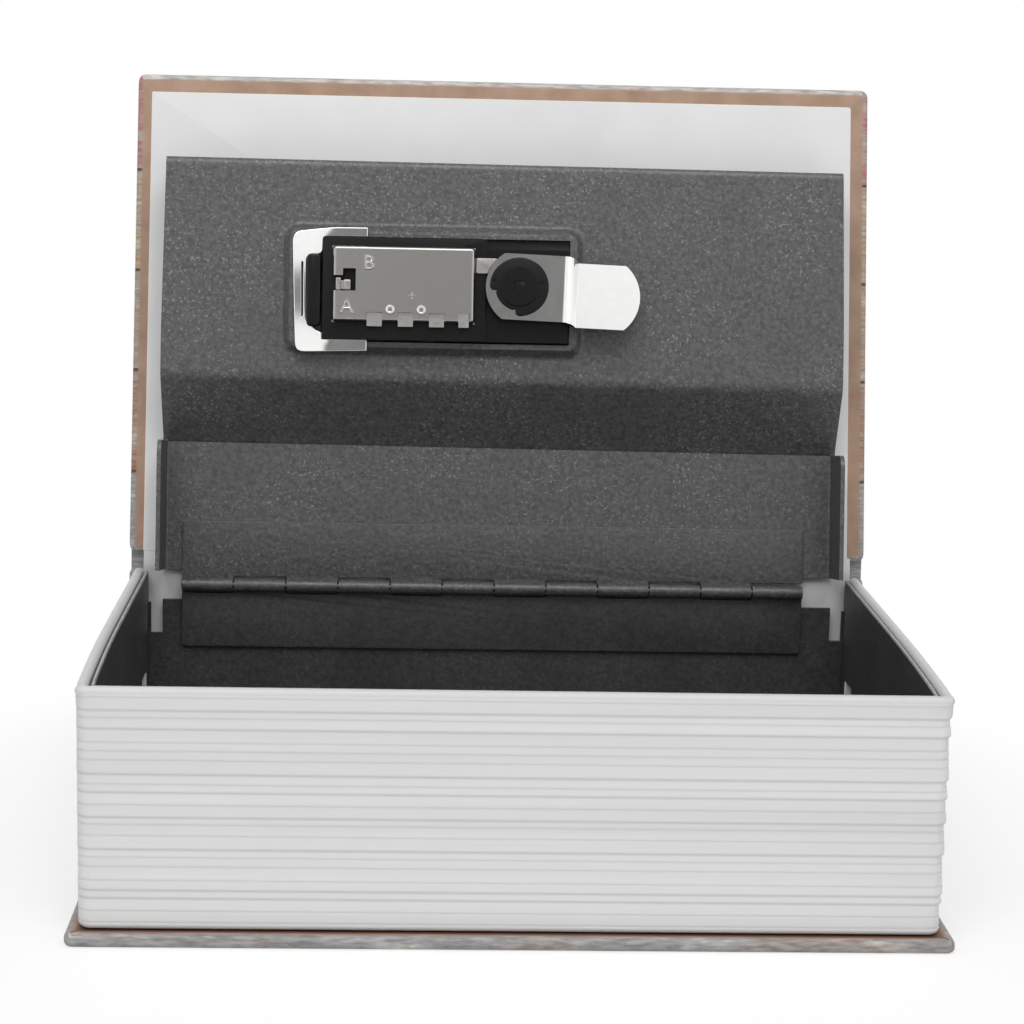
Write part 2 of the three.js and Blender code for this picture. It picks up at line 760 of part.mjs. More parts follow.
function lockBody() {
  const shaft = AXLE_RADIUS + DIAL_PLAY / 2;
  const backOfBezel = POCKET_T - LID_SHEET - SEAT;
  const shape = join(
    lockBlock(BEZEL, BEZEL_T, backOfBezel),
    lockBlock({ ...BODY, right: BODY_STEP.x }, BEZEL_T, BODY_T),
    lockBlock({ ...BODY, top: BODY_STEP.top }, BEZEL_T, BODY_T - BODY_STEP.drop),
  );
  const ends = DIAL_WIDTH / 2 + AXLE_OVERLAP;
  const channel = lidBlock(
    dialX(0) - ends,
    dialX(DIALS - 1) + ends,
    DIAL_T,
    BODY_T + OVERSHOOT,
    DIAL_S - shaft,
    DIAL_S + shaft,
  );
  const round = rodX(shaft, dialX(0) - ends, dialX(DIALS - 1) + ends);
  const slots = Array.from({ length: DIALS }, (_, i) =>
    lidBlock(
      dialX(i) - DIAL_WIDTH / 2 - DIAL_PLAY,
      dialX(i) + DIAL_WIDTH / 2 + DIAL_PLAY,
      BEZEL_T - OVERSHOOT,
      BODY_T + OVERSHOOT,
      DIAL_S - DIAL_RADIUS - DIAL_PLAY,
      DIAL_S + DIAL_RADIUS + DIAL_PLAY,
    ),
  );
  return cut(
    shape,
    channel,
    round.translate(0, -DIAL_T, DIAL_S),
    ...slots,
    rodT(SPINDLE_RADIUS + LOCK_PLAY, BEZEL_T - OVERSHOOT, BODY_T + OVERSHOOT),
  );
}

const notchXs = [...Array.from({ length: DIALS }, (_, i) => dialX(i)), LAST_NOTCH_X];

function lockCase() {
  const past = CASE_TOP_T + OVERSHOOT;
  const inside = grown(CASE, -CASE_SHEET);
  const notches = notchXs.map((x, i) =>
    lidBlock(
      x - NOTCH_WIDTHS[i] / 2,
      x + NOTCH_WIDTHS[i] / 2,
      BODY_T,
      past,
      CASE.bottom - OVERSHOOT,
      CASE.bottom + CASE_NOTCH,
    ),
  );
  const holes = rivetXs.map((x) =>
    rodT(RIVET_SHANK + SQUARE_PLAY, BODY_T, past, 12).translate(x, 0, RIVET_S),
  );
  return cut(
    lockBlock(CASE, CASE_BOTTOM_T, CASE_TOP_T),
    lockBlock(inside, BODY_T, CASE_TOP_T - CASE_SHEET),
    lockBlock({ ...WINDOW, left: CASE.left - OVERSHOOT }, BODY_T, past),
    ...notches,
    ...holes,
  );
}

// The leaf spring behind the case's notches, with a finger for each dial and one at the end.
function detentSpring() {
  const play = SQUARE_PLAY;
  const bottom = CASE.bottom + CASE_SHEET + play;
  const strip = lidBlock(
    CASE.left + CASE_SHEET + LEVER_WIDTH + 2 * SEAT,
    CASE.right - CASE_SHEET - SEAT,
    SPRING_T,
    SPRING_T + SPRING_SHEET,
    bottom,
    RIVET_S + SPRING_PAST_RIVET,
  );
  const fingers = notchXs.map((x, i) =>
    lidBlock(
      x - NOTCH_WIDTHS[i] / 2 + SEAT,
      x + NOTCH_WIDTHS[i] / 2 - SEAT,
      SPRING_T,
      SPRING_T + SPRING_SHEET,
      bottom - SPRING_FINGER,
      bottom + play,
    ),
  );
  const holes = rivetXs.map((x) =>
    rodT(RIVET_SHANK + play, SPRING_T - OVERSHOOT, SPRING_T + OVERSHOOT, 12).translate(x, 0, RIVET_S),
  );
  return cut(join(strip, ...fingers), ...holes);
}

// A hollow rivet: its profile goes from the axis at the tail to the axis in the head's dimple.
function rivet() {
  const tail = SPRING_T - SQUARE_PLAY;
  const seat = CASE_TOP_T + SQUARE_PLAY;
  const top = seat + RIVET_HEAD.height;
  const profile = [
    [0, tail - RIVET_HEAD.height],
    [RIVET_HEAD.radius, tail - RIVET_HEAD.height],
    [RIVET_HEAD.radius, tail],
    [RIVET_SHANK, tail],
    [RIVET_SHANK, seat],
    [RIVET_HEAD.radius, seat],
    [RIVET_HEAD.radius, seat + RIVET_HEAD.height / 2],
    [RIVET_HEAD.radius - RIVET_HEAD.height / 2, top],
    [RIVET_DIMPLE, top],
    [RIVET_DIMPLE, seat],
    [0, seat],
  ];
  const lathe = new THREE.LatheGeometry(
    profile.map(([r, t]) => new THREE.Vector2(r, t)),
    12,
  );
  return lathe.rotateX(Math.PI);
}

// A dial: ten number faces with a groove between each two.
function dial() {
  const outline = new THREE.Shape();
  for (let i = 0; i < DIAL_NUMBERS; i += 1) {
    const middle = (2 * Math.PI * i) / DIAL_NUMBERS;
    const spread = Math.PI / DIAL_NUMBERS;
    const corners = [
      [middle - DIAL_FACE_SHARE * spread, DIAL_RADIUS],
      [middle, DIAL_RADIUS],
      [middle + DIAL_FACE_SHARE * spread, DIAL_RADIUS],
      [middle + spread, DIAL_RADIUS - DIAL_GROOVE],
    ];
    for (const [angle, radius] of corners) {
      const point = [radius * Math.cos(angle), radius * Math.sin(angle)];
      if (outline.curves.length || outline.currentPoint.length()) outline.lineTo(...point);
      else outline.moveTo(...point);
    }
  }
  outline.holes.push(circle(SLEEVE_RADIUS + DIAL_PLAY));
  return alongX(outline, -DIAL_WIDTH / 2, DIAL_WIDTH / 2);
}

// A coding sleeve: a ring with one gate cut in its rim.
function sleeve() {
  const outline = circle(SLEEVE_RADIUS);
  outline.holes.push(circle(AXLE_RADIUS + DIAL_PLAY));
  const gate = block(
    -DIAL_WIDTH,
    DIAL_WIDTH,
    -SLEEVE_GATE / 2,
    SLEEVE_GATE / 2,
    SLEEVE_RADIUS - SLEEVE_GATE / 2,
    SLEEVE_RADIUS + OVERSHOOT,
  );
  return cut(alongX(outline, -DIAL_WIDTH / 2, DIAL_WIDTH / 2), gate);
}

// The lever shows in the case's window, at its lower end in the photographed setting.
function changeLever() {
  const foot = { left: WINDOW.right - SEAT - LEVER_WIDTH, right: WINDOW.right - SEAT };
  const bottom = WINDOW.bottom + SEAT;
  return lockBlock(
    { ...foot, bottom, top: bottom + LEVER_HEIGHT },
    CASE_BOTTOM_T,
    CASE_TOP_T + LEVER_PROUD,
  );
}

function springClip() {
  const plate = onLid(roundedRect(CLIP, CLIP_ROUND), POCKET_T + SEAT, POCKET_T + SEAT + CLIP_SHEET);
  const past = POCKET_T + SEAT + CLIP_SHEET + OVERSHOOT;
  const bodyRoom = { ...grown(BODY, SEAT), right: CLIP.right + OVERSHOOT };
  return cut(
    plate,
    lockBlock(bodyRoom, POCKET_T, past),
    lockBlock({ ...grown(STOP, SEAT), right: BODY.left + OVERSHOOT }, POCKET_T, past),
  );
}

function knob() {
  const disc = BEZEL_T - SEAT;
  const half = SPINDLE_SQUARE / 2;
  const grip = {
    left: -GRIP_LENGTH / 2,
    right: GRIP_LENGTH / 2,
    bottom: -GRIP_WIDTH / 2,
    top: GRIP_WIDTH / 2,
  };
  const square = { left: -half, right: half, bottom: -half, top: half };
  return join(
    rodT(KNOB_RADIUS, disc - KNOB_DISC, disc),
    onLid(roundedRect(grip, GRIP_ROUND), disc - KNOB_HEIGHT, disc - KNOB_DISC / 2),
    rodT(SPINDLE_RADIUS, disc - KNOB_DISC / 2, CAM_T - SEAT),
    lockBlock(square, CAM_T - 2 * SEAT, CAM_T + CAM_SHEET + BOSS_HEIGHT),
  );
}

const squareHole = (t0, t1) => {
  const half = SPINDLE_SQUARE / 2 + SQUARE_PLAY;
  return lockBlock({ left: -half, right: half, bottom: -half, top: half }, t0, t1);
};

function camSpacer() {
  const outline = circle(SPACER_RADIUS);
  outline.holes.push(circle(SPINDLE_RADIUS + SEAT));
  return onLid(outline, BODY_T - BODY_STEP.drop + SEAT, CAM_T - SEAT);
}

// The cam: a plate with a round end, cranked down to a tongue with a blunt round tip.
function camPlate() {
  const plate = new THREE.Shape();
  plate.moveTo(0, -CAM_HALF);
  plate.lineTo(CAM_BEND, -CAM_HALF);
  plate.lineTo(CAM_BEND, CAM_HALF);
  plate.lineTo(0, CAM_HALF);
  plate.absarc(0, 0, CAM_HALF, Math.PI / 2, 1.5 * Math.PI);
  const crank = polygon([
    [CAM_BEND - CAM_SHEET / 2, CAM_T],
    [TONGUE_START, TONGUE_T],
    [TONGUE_START + CAM_SHEET, TONGUE_T],
    [TONGUE_START + CAM_SHEET, TONGUE_T + CAM_SHEET],
    [CAM_BEND, CAM_T + CAM_SHEET],
    [CAM_BEND - CAM_SHEET / 2, CAM_T + CAM_SHEET],
  ]);
  const shoulder = TONGUE_TIP - TIP_RADIUS;
  const spread = Math.asin(TIP_HALF / TIP_RADIUS);
  const tongue = new THREE.Shape();
  tongue.moveTo(TONGUE_START, -TONGUE_HALF);
  tongue.lineTo(shoulder + TIP_RADIUS * Math.cos(spread), -TONGUE_HALF);
  tongue.absarc(shoulder, 0, TIP_RADIUS, -spread, spread);
  tongue.lineTo(shoulder + TIP_RADIUS * Math.cos(spread), TONGUE_HALF);
  tongue.lineTo(TONGUE_START, TONGUE_HALF);
  const bend = slab(crank, 2 * TONGUE_HALF, X, IN, new THREE.Vector3(0, 0, -1));
  return cut(
    join(
      onLid(plate, CAM_T, CAM_T + CAM_SHEET),
      bend.translate(0, 0, TONGUE_HALF),
      onLid(tongue, TONGUE_T, TONGUE_T + CAM_SHEET),
    ),
    squareHole(CAM_T - OVERSHOOT, CAM_T + CAM_SHEET + OVERSHOOT),
  );
}

function camBoss() {
  const bottom = CAM_T + CAM_SHEET + SQUARE_PLAY;
  const top = bottom + BOSS_HEIGHT;
  const notches = Array.from({ length: BOSS_NOTCHES }, (_, i) => {
    const turn = (2 * Math.PI * (i + FIRST_NOTCH)) / BOSS_NOTCHES;
    const x = BOSS_RADIUS * Math.cos(turn);
    const s = BOSS_RADIUS * Math.sin(turn);
    return rodT(BOSS_NOTCH, bottom - OVERSHOOT, top + OVERSHOOT, 10).translate(x, 0, s);
  });
  return cut(
    rodT(BOSS_RADIUS, bottom, top),
    squareHole(bottom - OVERSHOOT, top + OVERSHOOT),
    ...notches,
  );
}

add(lock, "lock_body", lockBody(), blackPlastic);
add(lock, "lock_case", lockCase(), nickel);
add(lock, "detent_spring", detentSpring(), polished);
rivetXs.forEach((x, i) => {
  add(lock, `case_rivet_${i + 1}`, rivet().translate(x, 0, RIVET_S), polished);
});
const axleEnd = DIAL_WIDTH / 2 + AXLE_OVERLAP - SEAT;
add(
  lock,
  "dial_axle",
  rodX(AXLE_RADIUS, dialX(0) - axleEnd, dialX(DIALS - 1) + axleEnd).translate(0, -DIAL_T, DIAL_S),
  pinSteel,
);
for (let i = 0; i < DIALS; i += 1) {
  add(lock, `dial_${i + 1}`, dial().translate(dialX(i), -DIAL_T, DIAL_S), blackPlastic);
  add(lock, `dial_sleeve_${i + 1}`, sleeve().translate(dialX(i), -DIAL_T, DIAL_S), brass);
}
add(lock, "change_lever", changeLever(), polished);
add(
  lock,
  "end_stop",
  onLid(roundedRect(STOP, STOP_ROUND), POCKET_T + SEAT, POCKET_T + SEAT + STOP_HEIGHT),
  blackPlastic,
);
add(lock, "spring_clip", springClip(), polished);
add(lock, "slide_bar", lockBlock(BAR, BODY_T + SEAT, BODY_T + SEAT + BAR_SHEET), nickel);
add(lock, "knob", knob(), blackPlastic);
add(lock, "cam_spacer", camSpacer(), blackPlastic);
add(lock, "cam_plate", camPlate(), polished);
add(lock, "cam_boss", camBoss(), blackPlastic);

export default book;
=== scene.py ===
# %% [markdown]
# A book safe for a lesson in surfaces as functions.
# The object is a hard-cover book whose page block is a moulded shell round a steel box.
# The box has a steel lid on a piano hinge with a three-dial lock, and the front cover stands behind it.
# Every new piece below is worked out with whole numpy arrays: a shape is either a function of two
# parameters on a grid, or a stack of rings that follow one another.

# %% Open the frame
import math

import bmesh
import bpy
import numpy as np
from mathutils import Matrix


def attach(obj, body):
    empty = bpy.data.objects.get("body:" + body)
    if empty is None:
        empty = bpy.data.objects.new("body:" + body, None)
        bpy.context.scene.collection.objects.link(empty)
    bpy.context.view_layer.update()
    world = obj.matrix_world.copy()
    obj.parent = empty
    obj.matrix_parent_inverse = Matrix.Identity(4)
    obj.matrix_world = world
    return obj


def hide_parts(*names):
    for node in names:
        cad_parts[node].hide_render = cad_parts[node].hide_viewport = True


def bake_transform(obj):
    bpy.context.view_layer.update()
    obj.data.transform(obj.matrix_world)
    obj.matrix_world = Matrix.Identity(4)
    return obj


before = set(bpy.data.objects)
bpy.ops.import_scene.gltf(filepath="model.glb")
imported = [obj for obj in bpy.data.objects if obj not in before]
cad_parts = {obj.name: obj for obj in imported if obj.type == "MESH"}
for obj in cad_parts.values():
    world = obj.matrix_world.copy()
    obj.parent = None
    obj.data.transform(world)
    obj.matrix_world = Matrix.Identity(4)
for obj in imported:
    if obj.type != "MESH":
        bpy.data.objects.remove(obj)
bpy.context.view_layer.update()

MM = 0.001

# %% [markdown]
# All sizes are in millimetres, as a maker would write them, and become metres only in the mesh.
# Three places are used: the box, the lid and the front cover.
# The lid and the cover lean back, so each has its own axes: x to the right, s up from its hinge and
# t from its back to the side that shows. A placing function turns those into the shared frame.

# %% Places
PAGES_Y = -57.65  # front of the page block
RIM = 53.1
PIN = (53.15, 49.9)  # hinge wire, as y and z
PIN_DEEP = PIN[0] - PAGES_Y
JOINT = (58.65, 55.0)  # front joint of the cover
LID_LEAN = math.radians(10.2)
COVER_LEAN = math.radians(12.6)


def on_box(x, depth, z):
    """x, the depth behind the page block's front and the height, as points: (x, depth + front, z)."""
    x, depth, z = np.broadcast_arrays(x, depth, z)
    return np.stack([x, depth + PAGES_Y, z], -1).astype(float)


def upright(x, z, depth):
    """The same with the height before the depth, for sheets that stand square to the depth."""
    return on_box(x, depth, z)


def leaning(x, s, t, foot, lean):
    """Foot point plus s along the leaning plane and t square to it:
    y = foot + s sin(lean) - t cos(lean), z = foot + s cos(lean) + t sin(lean)."""
    x, s, t = np.broadcast_arrays(x, s, t)
    y = foot[0] + s * math.sin(lean) - t * math.cos(lean)
    z = foot[1] + s * math.cos(lean) + t * math.sin(lean)
    return np.stack([x, y, z], -1)


def on_lid(x, s, t):
    return leaning(x, s, t, PIN, LID_LEAN)


def on_cover(x, s, t):
    return leaning(x, s, t, JOINT, COVER_LEAN)


LOCK = (3, 72)  # the knob's axis on the lid, as x and s


def on_lock(x, s, t):
    return on_lid(x + LOCK[0], s + LOCK[1], t)


def lock_at(x, s):
    """A placing function round an axis of the lock's own."""
    return lambda a, b, c: on_lock(a + x, b + s, c)


print("lock axis in the frame, mm:", on_lock(0, 0, 0).round(2))

# %% [markdown]
# Most parts of a book and of a lock are sheets with a rounded outline.
# An outline is a closed line of points. Its corners are eased with a curve that leaves one side and
# joins the next, which is what a file or a deburring drum does to a cut edge.
# Drawing the outline inwards by a distance gives the rings of a rounded edge.

# %% Outlines


def eased(corners, radius, steps=4):
    """A closed outline with eased corners: near a corner V the line is (1-q)^2 A + 2q(1-q) V + q^2 B,
    from A on the side before it to B on the side after it, for q from 0 to 1."""
    v = np.asarray(corners, float)
    radius = np.broadcast_to(np.asarray(radius, float), len(v))[:, None]
    before, after = np.roll(v, 1, 0) - v, np.roll(v, -1, 0) - v
    back, ahead = (np.linalg.norm(d, axis=1, keepdims=True) for d in (before, after))
    a = v + before / back * np.minimum(radius, 0.48 * back)
    b = v + after / ahead * np.minimum(radius, 0.48 * ahead)
    q = np.linspace(0, 1, steps + 1)[None, :, None]
    curve = (1 - q) ** 2 * a[:, None] + 2 * q * (1 - q) * v[:, None] + q**2 * b[:, None]
    return curve.reshape(-1, 2)


def rectangle(left, right, bottom, top, radius, steps=4):
    return eased([(left, bottom), (right, bottom), (right, top), (left, top)], radius, steps)


def drawn_in(outline, distance):
    """Each point goes inwards along the mean of its two sides' normals, by distance over the cosine
    of half the turn, so that every side moves by the same amount."""
    forward = np.roll(outline, -1, 0) - outline
    forward /= np.maximum(np.linalg.norm(forward, axis=1, keepdims=True), 1e-9)
    normal = np.stack([-forward[:, 1], forward[:, 0]], -1)
    mean = normal + np.roll(normal, 1, 0)
    mean /= np.linalg.norm(mean, axis=1, keepdims=True)
    cosine = np.maximum((mean * normal).sum(1, keepdims=True), 0.35)
    return outline + mean * distance / cosine


def travelled(path):
    """The distance along a path to each of its points, from 0."""
    return np.concatenate([[0], np.cumsum(np.linalg.norm(np.diff(path, axis=0), axis=1))])


def ring_faces(rings, around=True, caps=True):
    """Four-sided faces between each ring and the next, with a face across the first and last ring."""
    count, points = rings.shape[:2]
    index = np.arange(count * points).reshape(count, points)
    after = np.roll(index, -1, 1)
    quads = np.stack([index[:-1], after[:-1], after[1:], index[1:]], -1)
    if not around:
        quads = quads[:, :-1]
    faces = quads.reshape(-1, 4).tolist()
    if caps:
        faces += [index[0, ::-1].tolist(), index[-1].tolist()]
    return rings.reshape(-1, 3), faces


def sheet_without(field, gone):
    """Shell of a grid of points: a four-sided face for each cell, without the cells in gone."""
    index = np.arange(field[..., 0].size).reshape(field.shape[:2])
    quads = np.stack([index[:-1, :-1], index[:-1, 1:], index[1:, 1:], index[1:, :-1]], -1)
    used, faces = np.unique(quads[~gone].reshape(-1, 4), return_inverse=True)
    return field.reshape(-1, 3)[used], faces.reshape(-1, 4).tolist()


def plate(outline, low, high, edge, place, steps=3):
    """A sheet with rounded edges: ring i of each edge is the outline drawn in by e(1 - sin a) at the
    height e(1 - cos a) from the face, for a from 0 to 90 degrees."""
    a = np.linspace(0, math.pi / 2, steps + 1)
    inset = edge * (1 - np.sin(a))
    height = edge * (1 - np.cos(a))
    insets = np.concatenate([inset, inset[::-1]])
    heights = np.concatenate([low + height, (high - height)[::-1]])
    flat = np.stack([drawn_in(outline, d) for d in insets])
    return ring_faces(place(flat[..., 0], flat[..., 1], heights[:, None]))


def slab(left, right_side, bottom, top, radius, low, high, edge, place, steps=4):
    """A rectangular plate with eased corners."""
    return plate(rectangle(left, right_side, bottom, top, radius, steps), low, high, edge, place)


def turned(profile, place, sides=32):
    """A profile of (radius, height) pairs turned once round: (r cos a, r sin a, h)."""
    profile = np.asarray(profile, float)
    a = np.linspace(0, 2 * math.pi, sides, endpoint=False)
    radius, height = profile[:, :1], profile[:, 1:]
    return ring_faces(place(radius * np.cos(a), radius * np.sin(a), height + 0 * a))


# %% [markdown]
# A shell is a pair: its points and its faces. A piece joins its shells in one mesh, faces outward,
# shades smooth where faces meet at a low angle, stands at the origin and rides on its body.
# It hides the plain nodes that it stands for, so that they are not shown twice.

# %% Pieces
SMOOTH_BELOW = math.radians(38)


def shown(name, data):
    """An object of this mesh, lamp or camera, shown in the scene."""
    made = bpy.data.objects.new(name, data)
    bpy.context.scene.collection.objects.link(made)
    return made


def piece(name, shells, body, material, nodes=(), slot=None, closed=True, uv=None, values=None, merge=False):
    """One mesh of all shells. uv and values hold one entry per point, in the order of the points.
    Where rings meet in a corner, merge joins the points that fall together."""
    points = np.concatenate([p for p, _ in shells]) * MM
    faces, first = [], 0
    for shell_points, shell_faces in shells:
        faces += [[first + i for i in face] for face in shell_faces]
        first += len(shell_points)
    mesh = bpy.data.meshes.new(name)
    mesh.from_pydata(points, [], faces)
    if uv is not None:
        corner = np.empty(len(mesh.loops), np.int32)
        mesh.loops.foreach_get("vertex_index", corner)
        layer = mesh.uv_layers.new(name="sheet")
        layer.data.foreach_set("uv", np.asarray(uv, np.float32)[corner].ravel())
    for key, data in (values or {}).items():
        mesh.attributes.new(key, "FLOAT", "POINT").data.foreach_set("value", np.asarray(data, np.float32))
    if closed:
        edit = bmesh.new()
        edit.from_mesh(mesh)
        if merge:
            bmesh.ops.remove_doubles(edit, verts=edit.verts, dist=0.002 * MM)
        bmesh.ops.recalc_face_normals(edit, faces=edit.faces)
        edit.to_mesh(mesh)
        edit.free()
    mesh.shade_smooth()
    mesh.set_sharp_from_angle(angle=SMOOTH_BELOW)
    mesh.materials.append(material)
    made = shown(name, mesh)
    if body is not None:
        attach(made, body)
    if nodes:
        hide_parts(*nodes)
    print(f"{name}: {len(points)} points, {len(faces)} faces")
    return made


def bevelled(made, name, width, from_degrees):
    """A two-step bevel on every edge that turns by more than from_degrees."""
    bevel = made.modifiers.new(name, "BEVEL")
    bevel.width = width * MM
    bevel.segments = 2
    bevel.limit_method = "ANGLE"
    bevel.angle_limit = math.radians(from_degrees)
    bevel.harden_normals = True


def thick(made, sheet, edge):
    """Sheet metal from an open surface: Solidify gives the thickness, Bevel breaks the cut edges."""
    solid = made.modifiers.new("sheet", "SOLIDIFY")
    solid.thickness = sheet * MM
    solid.offset = -1
    bevelled(made, "broken edges", edge, 50)
    return made


def stops_along(*parts):
    """Grid lines of several ranges as one rising list."""
    merged = np.unique(np.concatenate([np.atleast_1d(p) for p in parts]).round(3))
    return merged[np.concatenate([[True], np.diff(merged) > 0.02])]


def pressed(name, box, height, gone, place, sheet, edge, fine, **how):
    """A height field over a rectangle: the point (x, s, height(x, s)), without the cells in gone."""
    xs = stops_along(np.linspace(box[0], box[1], 24), *fine[0])
    ss = stops_along(np.linspace(box[2], box[3], 16), *fine[1])
    gx, gs = np.meshgrid(xs, ss)
    mx, ms = (gx[:-1, :-1] + gx[1:, 1:]) / 2, (gs[:-1, :-1] + gs[1:, 1:]) / 2
    lost = np.zeros(mx.shape, bool)
    for left, right_side, low, high in gone:
        lost |= (mx > left) & (mx < right_side) & (ms > low) & (ms < high)
    shell = sheet_without(place(gx, gs, height(gx, gs)), lost)
    return thick(piece(name, [shell], closed=False, **how), sheet, edge)


def softened(node, name, body, material, width, reshaped=None):
    """A moulded piece from its plain node: a merged copy whose hard edges get a small radius.
    reshaped takes all its points in millimetres and gives them back moved."""
    source = bpy.data.objects[node]
    mesh = source.data.copy()
    mesh.transform(source.matrix_world)
    if reshaped:
        flat = np.empty(3 * len(mesh.vertices))
        mesh.vertices.foreach_get("co", flat)
        mesh.vertices.foreach_set("co", (reshaped(flat.reshape(-1, 3) / MM) * MM).ravel())
    edit = bmesh.new()
    edit.from_mesh(mesh)
    bmesh.ops.remove_doubles(edit, verts=edit.verts, dist=1e-6)
    bmesh.ops.dissolve_limit(edit, angle_limit=0.02, verts=edit.verts, edges=edit.edges)
    bmesh.ops.recalc_face_normals(edit, faces=edit.faces)
    edit.to_mesh(mesh)
    edit.free()
    mesh.materials.clear()
    mesh.materials.append(material)
    mesh.shade_smooth()
    mesh.set_sharp_from_angle(angle=SMOOTH_BELOW)
    made = shown(name, mesh)
    bevelled(made, "moulded edges", width, 40)
    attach(made, body)
    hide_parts(node)
    return made


# %% [markdown]
# Finishes are procedural, so they hold at any distance and need no picture.
# One function adds any node: its settings, the values or links of its inputs and, for a colour
# ramp, its stops. Colours are written as a paint chart gives them and go through one function.

# %% Node helper


def linear(code):
    """sRGB to linear light: c/12.92 below 0.04045, else ((c + 0.055)/1.055)^2.4."""
    c = np.array([int(code[i : i + 2], 16) for i in (1, 3, 5)]) / 255
    return (*np.where(c <= 0.04045, c / 12.92, ((c + 0.055) / 1.055) ** 2.4), 1.0)


def add_node(material, kind, inputs=(), stops=(), **settings):
    """A node with its settings. Inputs map a name or number to a value or to a socket to link."""
    tree = material.node_tree
    made = tree.nodes.new("ShaderNode" + kind)
    for key, value in settings.items():
        setattr(made, key, value)
    for key, value in dict(inputs).items():
        if isinstance(value, bpy.types.NodeSocket):
            tree.links.new(value, made.inputs[key])
        else:
            made.inputs[key].default_value = value
    if stops:
        elements = made.color_ramp.elements
        while len(elements) < len(stops):
            elements.new(0.5)
        for element, (position, colour) in zip(elements, stops):
            element.position = position
            element.color = linear(colour)
    return made


def new_material(name, **shader):
    """A material whose shader is set by its own inputs."""
    material = bpy.data.materials.new(name)
    material.use_nodes = True
    for key, value in shader.items():
        material.node_tree.nodes["Principled BSDF"].inputs[key.replace("_", " ")].default_value = value
    return material


def spot_in(material):
    """The place on the object, in metres."""
    return add_node(material, "TexCoord").outputs["Object"]


def attribute(material, name):
    return add_node(material, "Attribute", attribute_name=name).outputs["Fac"]


def noise(material, place, scale, detail, stretch=None, shift=(0, 0, 0), **more):
    """The value of a noise. stretch scales the place first, axis by axis, and shift moves it."""
    if stretch:
        moved = {"Vector": place, "Scale": stretch, "Location": shift}
        place = add_node(material, "Mapping", moved).outputs["Vector"]
    inputs = {"Vector": place, "Scale": scale, "Detail": detail, **more}
    return add_node(material, "TexNoise", inputs).outputs["Fac"]


def ramp(material, share, *stops):
    return add_node(material, "ValToRGB", {"Fac": share}, stops).outputs["Color"]


def mapped(material, value, start, end, low=0.0, high=1.0, **settings):
    """What goes from start to end comes out from low to high."""
    inputs = {"Value": value, "From Min": start, "From Max": end, "To Min": low, "To Max": high}
    return add_node(material, "MapRange", inputs, **settings).outputs["Result"]


def maths(material, operation, *values):
    return add_node(material, "Math", dict(enumerate(values)), operation=operation).outputs[0]


def mixed(material, share, first, second, **settings):
    """The first colour, with a share of the second."""
    inputs = {"Factor": share, 6: first, 7: second}
    return add_node(material, "Mix", inputs, data_type="RGBA", **settings).outputs[2]


def dress(material, colour, gloss=None, height=None, strength=0.0, depth_mm=0.0):
    """Links a colour, a roughness and the bump of a height to the material's shader."""
    sockets = {"Base Color": colour, "Roughness": gloss}
    if height is not None:
        inputs = {"Height": height, "Strength": strength, "Distance": depth_mm * MM}
        sockets["Normal"] = add_node(material, "Bump", inputs).outputs["Normal"]
    shader = material.node_tree.nodes["Principled BSDF"]
    for name, socket in sockets.items():
        if socket is not None:
            material.node_tree.links.new(socket, shader.inputs[name])


# %% [markdown]
# Hammered powder coat is sprayed as dry powder and fused in an oven, where it draws together in
# small round bumps about a millimetre apart. The eye gets a dark even grey with tiny bright glints
# where a bump turns to the light. Two sizes of bumps and an uneven gloss give the grey; the glints
# are painted highlights, light specks in the colour.

# %% Powder coat
BUMP_PITCH, GLINT_SIZE = 1.0, 0.6  # mm
CLOUDS = 60.0  # slow changes of tone in a metre


def powder_coat(name, dark, light, glint, roughness, relief):
    """Round bumps and grains drive the relief and the tone. Glints are painted highlights, light specks
    in the colour at the peaks of a fine noise, above 0.6, stronger where a slow cloud is light."""
    material = new_material(name, IOR=1.5, Metallic=0.0)
    place = spot_in(material)
    bumps = 1 / (BUMP_PITCH * MM)
    cells = add_node(material, "TexVoronoi", {"Vector": place, "Scale": bumps}, feature="SMOOTH_F1")
    grains = noise(material, place, 0.9 * bumps, 1.5)
    clouds = noise(material, place, CLOUDS, 2.0)
    tone = ramp(material, grains, (0.3, dark), (0.72, light))
    peaks = noise(material, place, 1 / (GLINT_SIZE * MM), 1.0)
    glint_spot = mapped(material, peaks, 0.6, 0.72, 0.0, 0.9)
    patch = mapped(material, clouds, 0.35, 0.65, 0.25, 1.0)
    # painted highlights: the glint colour is mixed in where a peak of the fine noise stands
    glinted = mixed(material, maths(material, "MULTIPLY", glint_spot, patch), tone, linear(glint))
    gloss = mapped(material, clouds, 0.3, 0.7, roughness - 0.06, roughness + 0.06)
    height = maths(material, "MULTIPLY_ADD", cells.outputs["Distance"], grains, 0.5)
    dress(material, glinted, gloss, height, relief, 0.2)
    return material


# the third colour of each coat is its painted glint
lid_coat = powder_coat("Hammered grey powder coat", "#3e3e3e", "#575757", "#848484", 0.42, 0.7)
# the hinge's and the box's coats are the lid's coat painted darker, as painted shade on the hinge and in the
# box; the box's coat is also smoother
hinge_coat_in_painted_shade = powder_coat("Powder coat painted darker as the shade on the hinge", "#393939", "#505050", "#727272", 0.42, 0.7)
box_coat_in_painted_shade = powder_coat("Powder coat painted darker as the shade in the box", "#303030", "#404040", "#505050", 0.5, 0.4)
worn_edge = powder_coat("Powder coat worn thin on the cut edge", "#8a8a8a", "#a8a8a8", "#c4c4c4", 0.4, 0.2)
print("powder coats:", lid_coat.name, "/", box_coat_in_painted_shade.name)

# %% [markdown]
# The metals of a lock are pressed and plated. Satin nickel keeps fine marks of the tumbling drum,
# bright nickel keeps almost none but is never quite flat, drawn wire has lines along its length,
# and turned brass has lines round it. Each gets its marks from noise stretched the right way.

# %% Metals


